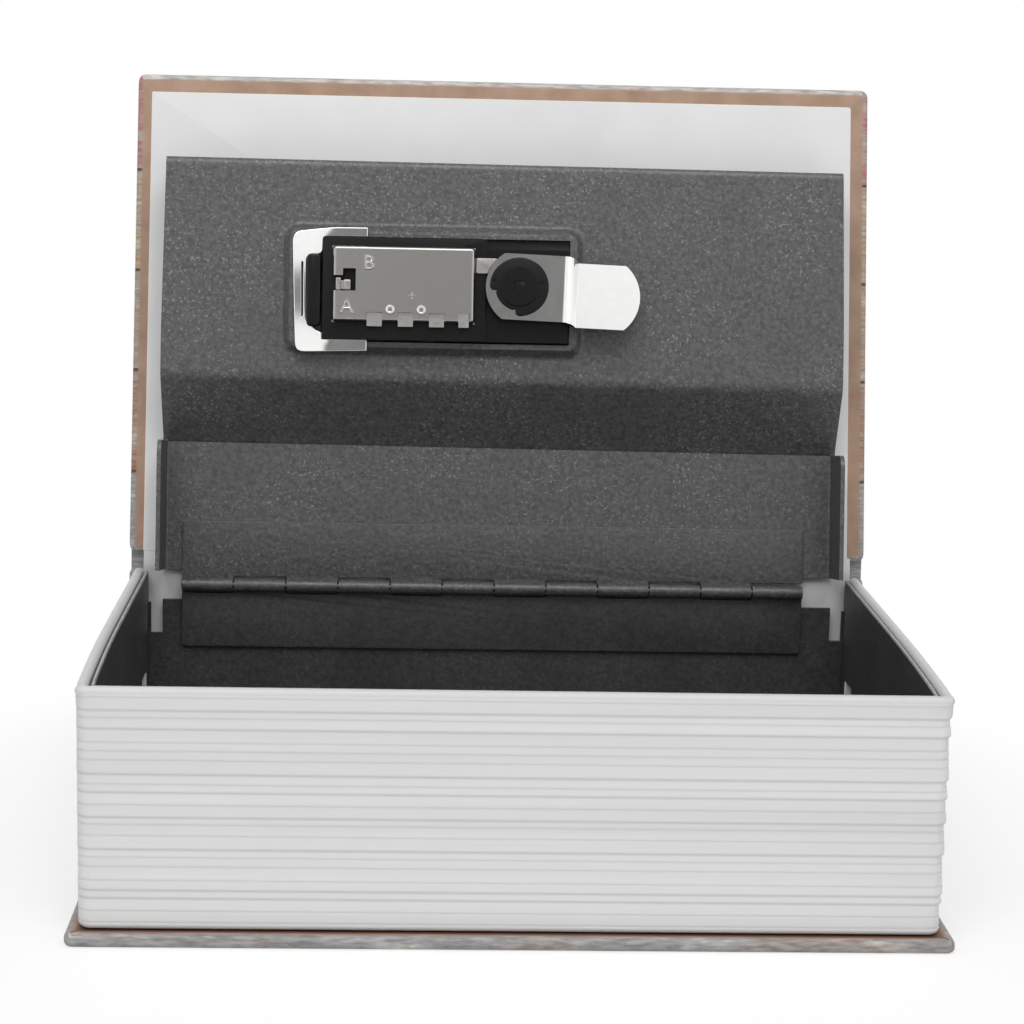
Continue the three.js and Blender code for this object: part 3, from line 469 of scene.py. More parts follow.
def plated(name, colour, shade, roughness, spread, stretch, marks_mm, dent):
    """Metal with fine marks: noise of the marks' size, stretched, drives tone, gloss and a low bump."""
    material = new_material(name, Metallic=1.0)
    marks = noise(material, spot_in(material), 1 / (marks_mm * MM), 4.0, stretch)
    tone = ramp(material, marks, (0.35, shade), (0.65, colour))
    gloss = mapped(material, marks, 0.0, 1.0, roughness, roughness + spread)
    dress(material, tone, gloss, marks, dent, 0.05)
    return material


satin_nickel = plated("Satin nickel plate, tumbled", "#a09e9b", "#9a9895", 0.22, 0.05, (1, 1, 1), 0.3, 0.03)
bright_nickel = plated("Bright nickel plate, pressed", "#eeeeec", "#eaeae8", 0.09, 0.03, (1, 1, 1), 2.5, 0.01)
# the wire's colour is painted dark, as the shade between the hinge's knuckles
drawn_steel_painted_dark = plated("Drawn steel wire, painted dark as shade", "#626262", "#505050", 0.32, 0.15, (0.05, 1, 1), 0.3, 0.2)
turned_brass = plated("Turned brass", "#c4a560", "#a98a48", 0.3, 0.12, (1, 0.2, 0.2), 0.3, 0.2)
print("metals made")

# %% [markdown]
# Plastics and papers look plain, but none is flat colour. A moulding shows a faint orange peel,
# endpaper a cloudy fibre, greyboard its pressed flakes, and black ABS a slightly uneven gloss.

# %% Plastics and papers


def soft_finish(name, low, high, roughness, grain_mm, depth_mm, cloud_mm, strength=0.3, gleam=0.5):
    """Two noises: a fine one for the surface and a coarse one for the slow change of tone."""
    material = new_material(name, IOR=1.5, Specular_IOR_Level=gleam)
    place = spot_in(material)
    grain = noise(material, place, 1 / (grain_mm * MM), 4.0)
    cloud = noise(material, place, 1 / (cloud_mm * MM), 2.0)
    tone = ramp(material, cloud, (0.3, low), (0.7, high))
    gloss = mapped(material, grain, 0.0, 1.0, roughness - 0.08, roughness + 0.08)
    dress(material, tone, gloss, grain, strength, depth_mm)
    return material


endpaper = soft_finish("Smooth white endpaper", "#d6d6d7", "#dcdcdc", 0.75, 0.4, 0.02, 18)
greyboard = soft_finish("Raw greyboard", "#80796f", "#9a948a", 0.9, 0.8, 0.08, 3, 0.6)
black_plastic = soft_finish("Black moulded ABS", "#080808", "#0f0f0f", 0.3, 0.6, 0.02, 8, gleam=0.2)
figure_paint = soft_finish("White figure paint", "#dddddd", "#f0f0f0", 0.5, 0.3, 0.01, 2)
cream_edge = soft_finish("Cut edge of the endpaper", "#e2d8c8", "#eae0d0", 0.8, 0.3, 0.02, 6)


def page_finish():
    """White plastic: slow bands along the pages, and a share of grey, painted shade in the page lines and
    over the rim.
    """
    material = new_material("White moulded polystyrene", IOR=1.5)
    place = spot_in(material)
    bands = noise(material, place, 1.0, 3.0, (3.0, 3.0, 260.0))
    tone = ramp(material, bands, (0.3, "#d0d0d0"), (0.7, "#dadada"))
    # painted shade: grey mixed in by the attribute, half its value
    share = maths(material, "MULTIPLY", attribute(material, "page_painted_shade"), 0.5)
    drawn = mixed(material, share, tone, linear("#8e8e8e"))
    peel = noise(material, place, 1 / (1.2 * MM), 4.0)
    dress(material, drawn, mapped(material, peel, 0.0, 1.0, 0.45, 0.6), peel, 0.3, 0.03)
    return material


page_plastic = page_finish()
print("plastics and papers made")

# %% [markdown]
# The case of the book is covered with paper printed as old painted boards of wood: rows about
# 24.5 mm high with dark joints, each row in its own faded paint, worn through to grey wood in
# streaks along the grain. The turned-in margin of the sheet is plain tan, painted dark brown as the
# shadow under the page block's foot and as shade along the mitre folds.
# The print follows the sheet and not the object, so the pieces carry their own coordinates in
# millimetres on the sheet: across, and from the fore edge of the front cover to that of the back.

# %% Print
ROW_HEIGHT = 24.5
ROW_PAINTS = ("#b8706c", "#c2a274", "#b39a80", "#a87650", "#9a9b9c", "#a88a5e", "#a78d74", "#b9b4ab",
              "#a9684f", "#8d989e", "#b5a183", "#92908e", "#dcd8d4")
MARGIN_PAINT = ("#937662", "#a78a76")
# the first colour is painted shadow, dark brown under the page block's foot and along the mitre folds; the
# second is the print's dark joints
MARGIN_PAINTED_SHADOW, JOINT_SHADE = "#4b3027", "#453830"
STAINS = ((0.34, "#94564a"), (0.42, "#a79f9a"), (0.56, "#8b8f93"), (0.66, "#e0dedc"))
FIRST_JOINT = 5.0  # mm below the top edge of the sheet, above which no joint shows


def printed(name, weave):
    """Rows by the floor of the distance over the row height; streaks are noise stretched along them."""
    material = new_material(name, IOR=1.48, Roughness=0.55)
    sheet = add_node(material, "UVMap", uv_map="sheet").outputs["UV"]
    depth = add_node(material, "SeparateXYZ", {"Vector": sheet}).outputs["Y"]
    down = maths(material, "MULTIPLY_ADD", noise(material, sheet, 0.02, 1.0), 2.0, depth)
    rows = maths(material, "DIVIDE", down, ROW_HEIGHT)
    count = len(ROW_PAINTS)
    row = maths(material, "WRAP", maths(material, "FLOOR", rows), float(count), 0.0)
    share = maths(material, "MULTIPLY_ADD", row, 1 / count, 0.5 / count)
    stops = [(i / count, colour) for i, colour in enumerate(ROW_PAINTS)]
    paint = add_node(material, "ValToRGB", {"Fac": share}, stops)
    paint.color_ramp.interpolation = "CONSTANT"
    streaks = noise(material, sheet, 1.0, 5.0, (0.06, 0.4, 1), Roughness=0.55)
    bare = ramp(material, streaks, (0.25, "#77726d"), (0.5, "#a5a09b"), (0.75, "#d6d2ce"))
    wear = mapped(material, streaks, 0.46, 0.62, 0.05, 0.7)
    worn = mixed(material, wear, paint.outputs["Color"], bare)
    patches = noise(material, sheet, 1.0, 4.0, (0.045, 0.16, 1), (40, 7, 0))
    stain = ramp(material, patches, *STAINS)
    grain = noise(material, sheet, 1.0, 5.0, (0.25, 1.3, 1))
    shade = ramp(material, grain, (0.36, "#a09b96"), (0.6, "#ffffff"))
    grained = mixed(material, 0.6, mixed(material, 0.35, worn, stain), shade, blend_type="MULTIPLY")
    joint = maths(material, "LESS_THAN", maths(material, "FRACT", rows), 0.03)
    seam = maths(material, "MULTIPLY", joint, maths(material, "GREATER_THAN", down, FIRST_JOINT))
    outside = mixed(material, seam, grained, linear(JOINT_SHADE))
    turned_in_and_foot_shadow = attribute(material, "turned_in_and_foot_shadow")
    soil = noise(material, sheet, 0.15, 3.0)
    margin = ramp(material, soil, (0.3, MARGIN_PAINT[0]), (0.7, MARGIN_PAINT[1]))
    # painted shadow: past 1 the turned-in share darkens the margin under the page block's foot, and the
    # mitres' nearness darkens their folds
    foot_shadow = mapped(material, turned_in_and_foot_shadow, 1.0, 2.0)
    painted_fold_shade = mapped(material, attribute(material, "mitre"), 0.86, 0.95)
    dark = maths(material, "MAXIMUM", foot_shadow, painted_fold_shade)
    colour = mixed(material, dark, mixed(material, turned_in_and_foot_shadow, outside, margin), linear(MARGIN_PAINTED_SHADOW))
    dress(material, colour, None, noise(material, sheet, 1 / weave, 2.0), 0.3, 0.04)
    return material


cover_paper = printed("Matt laminated paper, printed as painted boards", 0.5)
joint_paper = printed("Printed paper on book cloth", 0.3)
print("prints made, rows of", ROW_HEIGHT, "mm")

# %% [markdown]
# The page block is one moulding of three sides. Its maker copied an uneven stack of paper: bundles
# of sheets that each step back under the one above, with fine lines between.
# The section of the wall is a closed ring, from the rounded rim down the outside, under the foot
# and up the inside. It is carried along the plan, and at each place the relief draws it inwards.
# The right side has the deepest steps, as in the photo. Grey is painted in each page line as its
# shade, and a lighter share over the rim, under the foot and inside as painted shade.

# %% Page block
SHELL_HEIGHT, SHELL_WALL = 50.1, 2.4
SHELL_HALF, SHELL_DEPTH, SHELL_CORNER = 87.6, 114.4, 3
SIDE_BOW, BOW_LENGTH = 1.1, 55
FIRST_LINE, LINE_PITCH, LINE_WANDER, WANDER_RATE = 2, 2.2, 0.4, 1.9
SETTLE, LINE_HALF = 0.35, 0.24  # how soon a bundle's top stands out, and a groove's half height
LEAST_STEP, RIGHT_STEP, FLARE = 0.08, 0.5, 0.6
STRONG_LINES = np.array([1, 3, 7, 9, 11, 14, 18, 19])
LINES = np.arange(22)


def line_depth(k):
    """Depth of page line k below the rim: an even pitch with a small wander."""
    return FIRST_LINE + LINE_PITCH * k + LINE_WANDER * np.sin(WANDER_RATE * k)


def plan(half, front, radius, rear, along=20, round_steps=8, across=24):
    """The plan from the rear left end round the front to the rear right end, and its outward normals.
    The sides widen by 1.1 sin(90 deg * depth / 55) over the first 55 mm and then run straight."""
    turn = np.linspace(0, math.pi / 2, round_steps + 1)
    side_depth = np.linspace(front + radius, rear, along + 1)[1:]
    widen = SIDE_BOW * np.sin(math.pi / 2 * np.minimum(side_depth / BOW_LENGTH, 1))
    x = np.concatenate([
        np.linspace(0, half - radius, across // 2, endpoint=False),
        half - radius * (1 - np.sin(turn)),
        half + widen,
    ])
    y = np.concatenate([
        np.full(across // 2, float(front)),
        front + radius * (1 - np.cos(turn)),
        side_depth,
    ])
    x = np.concatenate([-x[:0:-1], x])
    y = np.concatenate([y[:0:-1], y])
    tx, ty = np.gradient(x), np.gradient(y)
    length = np.hypot(tx, ty)
    return x, y, ty / length, -tx / length


def relief(depth, amount):
    """How far the face lies inwards: each bundle runs from amount at its top to nothing at its
    bottom, and every page line is a groove with the shape of a bell curve."""
    edges = np.concatenate([[0], line_depth(STRONG_LINES), [SHELL_HEIGHT + 4]])
    bundle = np.clip(np.searchsorted(edges, depth, side="right") - 1, 0, len(edges) - 2)
    along = (depth - edges[bundle]) / (edges[bundle + 1] - edges[bundle])
    settle = np.clip((depth - edges[bundle]) / SETTLE, 0, 1)
    step = np.where(bundle > 0, settle * (1 - along), 0)
    bells = np.exp(-(((depth[:, None] - line_depth(LINES)) / LINE_HALF) ** 2))
    return amount * step[:, None] + (0.04 + 0.12 * amount) * bells.sum(1)[:, None]


BEAD, FOOT_ROUND = 1.2, 1.3
crest = np.linspace(math.pi, 0, 11)
down = np.arange(BEAD + 0.1, SHELL_HEIGHT, 0.1)
section_depth = np.concatenate([BEAD * (1 - np.sin(crest)), down, [SHELL_HEIGHT, SHELL_HEIGHT, 26, 3]])
foot = np.clip((down - SHELL_HEIGHT + FOOT_ROUND) / FOOT_ROUND, 0, 1)
section_in = np.concatenate([
    SHELL_WALL / 2 - SHELL_WALL / 2 * np.cos(crest),
    FOOT_ROUND * (1 - np.sqrt(1 - foot**2)),
    [FOOT_ROUND, SHELL_WALL, SHELL_WALL, SHELL_WALL],
])
outside = np.concatenate([np.zeros(len(crest)), np.ones(len(down)), [1, 0, 0, 0]])
x, y, nx, ny = plan(SHELL_HALF, 0, SHELL_CORNER, SHELL_DEPTH)
amount = LEAST_STEP + RIGHT_STEP * np.clip((x - 85) / 2.4, 0, 1)
corner = np.abs(nx * ny) * 2
flare = FLARE * corner * np.exp(-((section_depth[:, None] / 2.2) ** 2)) * (section_in[:, None] < 1.2)
inward = section_in[:, None] + outside[:, None] * relief(section_depth, amount) - flare
rings = on_box(x - nx * inward, y - ny * inward, (RIM - section_depth)[:, None]).transpose(1, 0, 2)
# painted shade: grey in each page line, more in the strong ones, and 0.35 over the rim, under the foot and
# inside
weight = np.where(np.isin(LINES, STRONG_LINES), 0.65, 0.4)
lines = (weight * np.exp(-(((section_depth[:, None] - line_depth(LINES)) / 0.28) ** 2))).sum(1)
page_painted_shade = np.clip(outside * lines + 0.35 * (outside == 0), 0, 1)
page_painted_shade = np.broadcast_to(page_painted_shade, rings.shape[:2]).ravel()
piece("page_block", [ring_faces(rings)], "box", page_plastic, ["page_shell"], "shell_plastic",
      values={"page_painted_shade": page_painted_shade})

# %% [markdown]
# The box is bent from 0.7 mm sheet: two sides and the front in one piece, and a rear wall with
# lowered shoulders beside the hinge and a notch at each corner. Near the rear corners each side
# has an upright slit, in which a hook of the page block holds the box.
# The walls are a sheet over two parameters: the distance round the plan and the height.
# The cut rim shows as a thin lighter line inside the white one.

# %% Steel box
BOX_SHEET, BOX_HALF, BOX_FRONT, BOX_CORNER = 0.7, 84.7, 2.7, 1.2
BOX_TOP, BOX_FLOOR = 52.7, 3.3
REAR_WALL, REAR_HALF = 112.55, 85.1
RIM_ROUND = 0.39  # a little more than half the sheet, so that the worn rim lies on it
HINGE_LEFT, HINGE_RIGHT = -76.9, 74.3

x, y, nx, ny = plan(BOX_HALF, BOX_FRONT, BOX_CORNER, REAR_WALL + BOX_SHEET)
run = travelled(np.stack([x, y], -1))
run -= run[-1] / 2
SLIT_DEEP, SLIT_UP = (98.5, 107.5), (8, 29)


def round_walls(along, z, _):
    """The distance round the walls from the middle of the front, and the height, as points."""
    return on_box(np.interp(along, run, x), np.interp(along, run, y), z)


slit_run = run[-1] - (y[-1] - np.array(SLIT_DEEP))
slits = [(*slit_run, *SLIT_UP), (*-slit_run[::-1], *SLIT_UP)]
# the walls, rear wall, floor and ledge take the coat painted darker as the shade in the box
pressed(
    "sheet_box_walls", (run[0], run[-1], BOX_FLOOR, BOX_TOP - 0.1), lambda along, z: 0 * z, slits,
    round_walls, BOX_SHEET, 0.1, ([run, slit_run, -slit_run], [SLIT_UP]),
    body="box", material=box_coat_in_painted_shade, slot="powder_coat",
)
SHOULDER, NOTCH_FOOT, NOTCH_SIDE = 45.8, 37.5, 81.65
STRIP_SIDE, STRIP_HIGH, LEAF_HIGH = 84.45, 45, 48.3
cuts = [(NOTCH_SIDE, STRIP_SIDE, NOTCH_FOOT, LEAF_HIGH), (STRIP_SIDE, REAR_HALF, STRIP_HIGH, LEAF_HIGH)]
cuts += [(-right_side, -left, low, high) for left, right_side, low, high in cuts]
cuts += [(-REAR_HALF, HINGE_LEFT, SHOULDER, LEAF_HIGH), (HINGE_RIGHT, REAR_HALF, SHOULDER, LEAF_HIGH)]
pressed(
    "box_rear_wall", (-REAR_HALF, REAR_HALF, BOX_FLOOR, LEAF_HIGH), lambda x, z: REAR_WALL, cuts,
    upright, BOX_SHEET, 0.12,
    ([edge_x for box in cuts for edge_x in box[:2]], [edge_z for box in cuts for edge_z in box[2:]]),
    body="box", material=box_coat_in_painted_shade, slot="powder_coat",
)
FLOOR_HALF = 85.3
floor = slab(-FLOOR_HALF, FLOOR_HALF, 3, REAR_WALL + 0.4, 1, BOX_FLOOR, BOX_FLOOR + BOX_SHEET, 0.1, on_box)
piece("sheet_box_floor", [floor], "box", box_coat_in_painted_shade, ["steel_box"], "powder_coat")
crest = np.linspace(0, math.pi, 7)
rim_in = np.concatenate([BOX_SHEET / 2 - RIM_ROUND * np.cos(crest), [BOX_SHEET / 2]])
rim_up = np.concatenate([BOX_TOP - BOX_SHEET / 2 + RIM_ROUND * np.sin(crest), [BOX_TOP - 0.5]])
rim = on_box(x - nx * rim_in[:, None], y - ny * rim_in[:, None], rim_up[:, None]).transpose(1, 0, 2)
piece("worn_box_rim", [ring_faces(rim)], "box", worn_edge, slot="powder_coat")
HOOK_FRONT, HOOK_IN, HOOK_OUT, HOOK_THICK = 106.5, 85.05, 86.3, 0.8
hooks = [
    slab(*sorted((side * HOOK_IN, side * HOOK_OUT)), SLIT_UP[0] + 0.2, SLIT_UP[1] - 0.3, 0.3,
         HOOK_FRONT, HOOK_FRONT + HOOK_THICK, 0.1, upright, 2)
    for side in (-1, 1)
]
piece("shell_hooks", hooks, "box", page_plastic, slot="shell_plastic",
      values={"page_painted_shade": np.zeros(2 * len(hooks[0][0]))})

# %% [markdown]
# Inside the front wall a bent ledge stands under the lid's edge. The lock's tongue turns under it.
# Its section is a sheet that runs up the wall, bends out and ends in a lip turned down.

# %% Strike


def strip_section(path, sheet):
    """A sheet of even thickness along a path: the path and the same path moved along its normals."""
    path = np.asarray(path, float)
    step = np.gradient(path, axis=0)
    step /= np.linalg.norm(step, axis=1, keepdims=True)
    normal = np.stack([-step[:, 1], step[:, 0]], -1)
    return np.concatenate([path, (path + sheet * normal)[::-1]])


def eased_path(points, radius, steps=5):
    """An open path with its inner corners eased, by the same curve as an outline's."""
    curve = eased(points, radius, steps).reshape(len(points), steps + 1, 2)
    inner = curve[1:-1].reshape(-1, 2)
    return np.concatenate([[points[0]], inner, [points[-1]]])


def extruded(outline, x0, x1, edge, place, steps=2):
    """An outline in two axes carried along x, with rounded ends."""
    return plate(outline, x0, x1, edge, lambda a, b, c: place(c, a, b), steps)


LEDGE_SHEET, LEDGE_ROUND, LEDGE_ENDS = 0.8, 1.2, (-17, 23)
ledge = [(4.2, 30.2), (4.2, 40.25), (11.7, 40.25), (11.7, 37.5)]
ledge = strip_section(eased_path(ledge, LEDGE_ROUND), LEDGE_SHEET)
ledge = extruded(ledge[::-1], *LEDGE_ENDS, 0.1, on_box)
piece("strike_ledge", [ledge], "box", box_coat_in_painted_shade, ["strike"], "powder_coat")

# %% [markdown]
# A piano hinge is two leaves whose edges are rolled round one wire, turn and turn about.
# The rolled knuckle is the leaf's own sheet taken once round the wire, and the other leaf is
# notched to clear it. One function makes both leaves, one of them upside down. The leaf in the box
# got the box's coat, painted darker as the shade under the lid, and its cut lower edge keeps the
# hinge's lighter coat and shows as a thin lighter line. The hinge's coat is the lid's, painted a
# little darker as shade.

# %% Piano hinge
KNUCKLES, PITCH, GAP = 12, 12.6, 0.3
LEAF_TOP, LEAF_SHEET, KNUCKLE, ROLLED_SHEET = 15.4, 0.8, 1.6, 0.62
OWN_FOOT, OTHER_FOOT = 0.2, 2.2  # the leaf's lower edge at its own knuckles and at the other leaf's


def leaf_shells(first, place):
    """The comb outline: at a knuckle of its own the leaf runs down to the barrel, else it ends
    2.2 mm above. A knuckle is the sheet rolled from -90 to 235 degrees at radius 1.6."""
    left = HINGE_LEFT + PITCH * np.arange(KNUCKLES)
    own = (np.arange(KNUCKLES) % 2) == first
    low = np.where(own, OWN_FOOT, OTHER_FOOT)
    shy = np.where(own, GAP / 2, -GAP / 2)
    edges = np.stack([left + shy, left + PITCH - shy], -1)
    edges[0, 0], edges[-1, 1] = HINGE_LEFT, HINGE_RIGHT
    comb = np.stack([edges.ravel(), np.repeat(low, 2)], -1)
    outline = np.concatenate([comb, [(HINGE_RIGHT, LEAF_TOP), (HINGE_LEFT, LEAF_TOP)]])
    shells = [plate(eased(outline, 0.5, 3), -KNUCKLE, LEAF_SHEET - KNUCKLE, 0.12, place)]
    around = np.radians(np.linspace(-90, 235, 30))
    outer = np.stack([KNUCKLE * np.cos(around), KNUCKLE * np.sin(around)], -1)
    inner = outer[::-1] * (KNUCKLE - ROLLED_SHEET) / KNUCKLE
    roll = np.concatenate([outer, inner])
    roll = np.stack([-roll[:, 1], roll[:, 0]], -1)
    for x0 in left[own]:
        ends = x0 + GAP / 2, x0 + PITCH - GAP / 2
        shells.append(plate(roll, *ends, 0.12, lambda a, b, c: place(c, b, -a)))
    return shells


def below_pin(x, s, t):
    """The leaf in the box hangs down from the wire, its face to the front."""
    return on_box(x, PIN_DEEP - t, PIN[1] - s)


lid_knuckles = leaf_shells(0, on_lid)
box_knuckles = leaf_shells(1, below_pin)
piece("lid_hinge_leaf", lid_knuckles, "lid", hinge_coat_in_painted_shade, ["lid_leaf"], "powder_coat")
# the leaf in the box is painted darker as its shade under the lid; its knuckles and lower edge keep the
# hinge's coat
piece("box_hinge_leaf", box_knuckles[:1], "box", box_coat_in_painted_shade, ["box_leaf"], "powder_coat")
piece("box_hinge_knuckles", box_knuckles[1:], "box", hinge_coat_in_painted_shade, slot="powder_coat")
cut_edge = slab(HINGE_LEFT + 1, HINGE_RIGHT - 1, LEAF_TOP - 0.2, LEAF_TOP + 0.04, 0.1,
                0.1 - KNUCKLE, LEAF_SHEET - KNUCKLE - 0.02, 0.03, below_pin, 2)
piece("box_leaf_cut_edge", [cut_edge], "box", hinge_coat_in_painted_shade, slot="powder_coat")
wire = [(0.05, HINGE_LEFT), (0.6, HINGE_LEFT), (0.8, HINGE_LEFT + 0.2), (0.8, HINGE_RIGHT - 0.2),
        (0.6, HINGE_RIGHT), (0.05, HINGE_RIGHT)]
wire = turned(wire, lambda a, b, c: on_box(c, a + PIN_DEEP, b + PIN[1]), 20)
piece("hinge_wire", [wire], "box", drawn_steel_painted_dark, ["hinge_pin"], "pin_steel")

# %% [markdown]
# The lid is one folded sheet. From the hinge it runs up as a strip with a skirt folded at each
# side, steps forward in a slope, goes on as the main plate and ends in a flange at the fore edge.
# The lock sits in a pressed pocket of the plate, with an opening for its body.
# The sheet is a grid: rows follow the folded profile, columns run across and round the two folds
# of the skirts. The pocket lifts the grid by 2.8 (3q^2 - 2q^3), q being the depth inside its edge
# over the width of its slope. Cells in the opening, and beyond the plate's sides, are left out.
# The plate narrows to its fore edge, which isn't quite square, as on most sheet cut by hand shears.

# %% Lid
HALF, FOLD, SKIRT_REACH = 81.5, 0.6, 13.2
STRIP_T, PLATE_T, LID_SHEET = -1.75, 8.65, 1.0
STRIP_TOP, STEP_TOP, FORE_EDGE, LID_START = 34.2, 49.8, 101.6, 3.6
SKIRT_T, SKIRT_ROUND, FLANGE, BEND = 12.05, 3, 9.3, 1.6
POCKET, POCKET_CORNER, POCKET_SLOPE, POCKET_LIFT = (-53.2, 18.9, 55.6, 87.0), 4, 2.2, 2.8
OPENING = (-43.9, 15.3, 58.7, 83.7)
TAPER, FORE_TILT, STEP_TILT = (81.2, 81.9), (0.5, -0.0043), -0.006


def inside_of(x, s, box, radius):
    """Depth inside a rectangle with round corners: radius less the distance to its inner rectangle."""
    left, right_side, low, high = box
    dx = np.maximum(np.maximum(left + radius - x, x - right_side + radius), 0)
    ds = np.maximum(np.maximum(low + radius - s, s - high + radius), 0)
    deep = np.minimum(np.minimum(x - left, right_side - x), np.minimum(s - low, high - s))
    return np.where((dx > 0) & (ds > 0), radius - np.hypot(dx, ds), deep)


flat_half = HALF - LID_SHEET - FOLD
fold_length = FOLD * math.pi / 2
columns = stops_along(
    np.linspace(-flat_half, flat_half, 50),
    np.arange(-54, -42, 0.5), np.arange(13, 20, 0.5), OPENING[:2],
    (-HALF, HALF),
    *[side * (flat_half + fold_length * np.arange(1, 6) / 5) for side in (-1, 1)],
    *[side * (flat_half + fold_length + np.linspace(1, SKIRT_REACH, 6)) for side in (-1, 1)],
)
profile = eased_path(
    [(LID_START, STRIP_T), (STRIP_TOP, STRIP_T), (STEP_TOP, PLATE_T), (FORE_EDGE, PLATE_T),
     (FORE_EDGE, PLATE_T - FLANGE)],
    BEND, 6,
)
strip_rows = np.stack([np.linspace(LID_START, 31, 8), np.full(8, STRIP_T)], -1)
bend_1, bend_2, bend_3 = profile[1:8], profile[8:15], profile[15:22]
plate_rows = stops_along(
    np.linspace(52, 99.5, 20), np.arange(53, 58, 0.5), np.arange(83, 88, 0.5), OPENING[2:]
)
rows = np.concatenate([
    strip_rows[:-1],
    [(s, STRIP_T) for s in (31.2, 31.7, 32.1)],
    bend_1,
    np.linspace(bend_1[-1], bend_2[0], 6)[1:-1],
    bend_2,
    np.stack([plate_rows, np.full(len(plate_rows), PLATE_T)], -1),
    bend_3,
    [profile[-1]],
])
row_s, row_t = rows[:, :1], rows[:, 1:]
c, _ = np.meshgrid(columns, rows[:, 0])
beyond = np.abs(c) - flat_half
angle = np.clip(beyond / FOLD, 0, math.pi / 2)
reach = np.clip(np.abs(c) - flat_half - fold_length, 0, None) / SKIRT_REACH
past_round = np.clip(row_s - STRIP_TOP + SKIRT_ROUND, 0, SKIRT_ROUND)
skirt_top = SKIRT_T - SKIRT_ROUND + np.sqrt(np.clip(SKIRT_ROUND**2 - past_round**2, 0, None))
on_strip = row_s <= STRIP_TOP + 0.01
folded_x = np.sign(c) * np.where(beyond > 0, flat_half + FOLD * np.sin(angle), np.abs(c))
folded_t = STRIP_T + np.where(beyond > 0, FOLD * (1 - np.cos(angle)), 0)
folded_t = folded_t + reach * (skirt_top - STRIP_T - FOLD)
pocket = np.clip(inside_of(c, row_s, POCKET, POCKET_CORNER) / POCKET_SLOPE, 0, 1)
is_plate = (row_s > STEP_TOP + 1) & (row_s < FORE_EDGE - 2)
lifted = row_t + np.where(is_plate, POCKET_LIFT * (3 * pocket**2 - 2 * pocket**3), 0)
half_here = TAPER[0] + (TAPER[1] - TAPER[0]) * np.clip((102 - row_s) / 40, 0, 1)
outer = np.clip((np.abs(c) - 56) / (HALF - 56), 0, 1)
lid_x = np.where(on_strip, folded_x + 0.6 * np.sign(c) * outer,
                 np.clip(c, -HALF, HALF) + np.sign(c) * outer * (half_here - HALF))
lid_t = np.where(on_strip, folded_t, lifted)
fore_share = np.clip((row_s - 92) / (FORE_EDGE - 92), 0, 1)
step_share = np.clip((row_s - 20) / 14, 0, 1) * np.clip((55 - row_s) / 5, 0, 1)
lid_s = row_s + fore_share * (FORE_TILT[0] + FORE_TILT[1] * c) + step_share * STEP_TILT * c
mid_x = (c[:-1, :-1] + c[1:, 1:]) / 2
mid_s = (row_s[:-1] + row_s[1:]) / 2 + 0 * mid_x
last_strip = int(on_strip[:, 0].sum()) - 1
strip_cell = (np.arange(len(rows) - 1) < last_strip)[:, None]
keep = strip_cell | (np.abs(mid_x) < HALF)
in_opening = (mid_x > OPENING[0]) & (mid_x < OPENING[1]) & (mid_s > OPENING[2]) & (mid_s < OPENING[3])
keep &= ~in_opening
lid_shell = sheet_without(on_lid(lid_x, lid_s, lid_t), ~keep)
lid = piece("folded_lid", [lid_shell], "lid", lid_coat, ["lid_plate"], "powder_coat", closed=False)
thick(lid, LID_SHEET, 0.2)

# %% [markdown]
# The lock's body and knob are black mouldings with many small steps that hardly show. Here the
# plain solids are already right, so a merged copy of each gets moulded edge radii.

# %% Lock body and knob
BODY_FOOT, FOOT_LIFT = -14.1, 1.1


def lifted_foot(points):
    """The body's lower wall, at s = -14.1 from the lock's axis, goes up by 1.1 mm."""
    s = (points[:, 1] - PIN[0]) * math.sin(LID_LEAN) + (points[:, 2] - PIN[1]) * math.cos(LID_LEAN) - LOCK[1]
    up = np.where(np.abs(s - BODY_FOOT) < 0.4, FOOT_LIFT, 0)[:, None]
    return points + up * np.array([0, math.sin(LID_LEAN), math.cos(LID_LEAN)])


softened("lock_body", "moulded_body", "lid", black_plastic, 0.25, lifted_foot)
softened("knob", "turning_knob", "cam", black_plastic, 0.3)
print("lock body and knob softened")

# %% [markdown]
# The inner case is pressed from nickel-plated sheet: a flat top with a small radius and short
# walls. Notches along its lower edge show the spring behind, and a window at the left shows the
# code change lever. It is a height field that falls 2.4 mm over the last 0.7 mm to its edge.

# %% Lock case
CASE = (-44.2, -10.35, -8.95, 9.2)
CASE_TOP, CASE_FALL, CASE_CORNER, CASE_BEND, CASE_SHEET = 16.85, 2.4, 1.0, 0.7, 0.5
NOTCHES = ((-34.1, 3.9), (-26.75, 3.9), (-19.4, 3.85), (-13.0, 2.75))
NOTCH_TOP = -6.55
WINDOW = ((-41.6, -38.6, -1.6, 3.65), (-45, -41.6, -1.6, 2.0))


def case_height(x, s):
    """Height at a place: a quarter circle over the last CASE_BEND to the edge."""
    q = np.clip(inside_of(x, s, CASE, CASE_CORNER) / CASE_BEND, 0, 1)
    return CASE_TOP - CASE_FALL * (1 - np.sqrt(np.clip(1 - (1 - q) ** 2, 0, 1)))


case_gone = [(x - w / 2, x + w / 2, CASE[2] - 1, NOTCH_TOP) for x, w in NOTCHES] + [*WINDOW]
near = np.array([0.02, 0.08, 0.2, 0.35, 0.5, 0.7, 1.0])
pressed(
    "pressed_case", CASE, case_height, case_gone, on_lock, CASE_SHEET, 0.08,
    ([CASE[0] + near, CASE[1] - near, WINDOW[0][:2], *[[x - w / 2, x + w / 2] for x, w in NOTCHES]],
     [CASE[2] + near, CASE[3] - near, [NOTCH_TOP], WINDOW[0][2:], WINDOW[1][3:]]),
    body="lid", material=satin_nickel, nodes=["lock_case"], slot="nickel_plate",
)

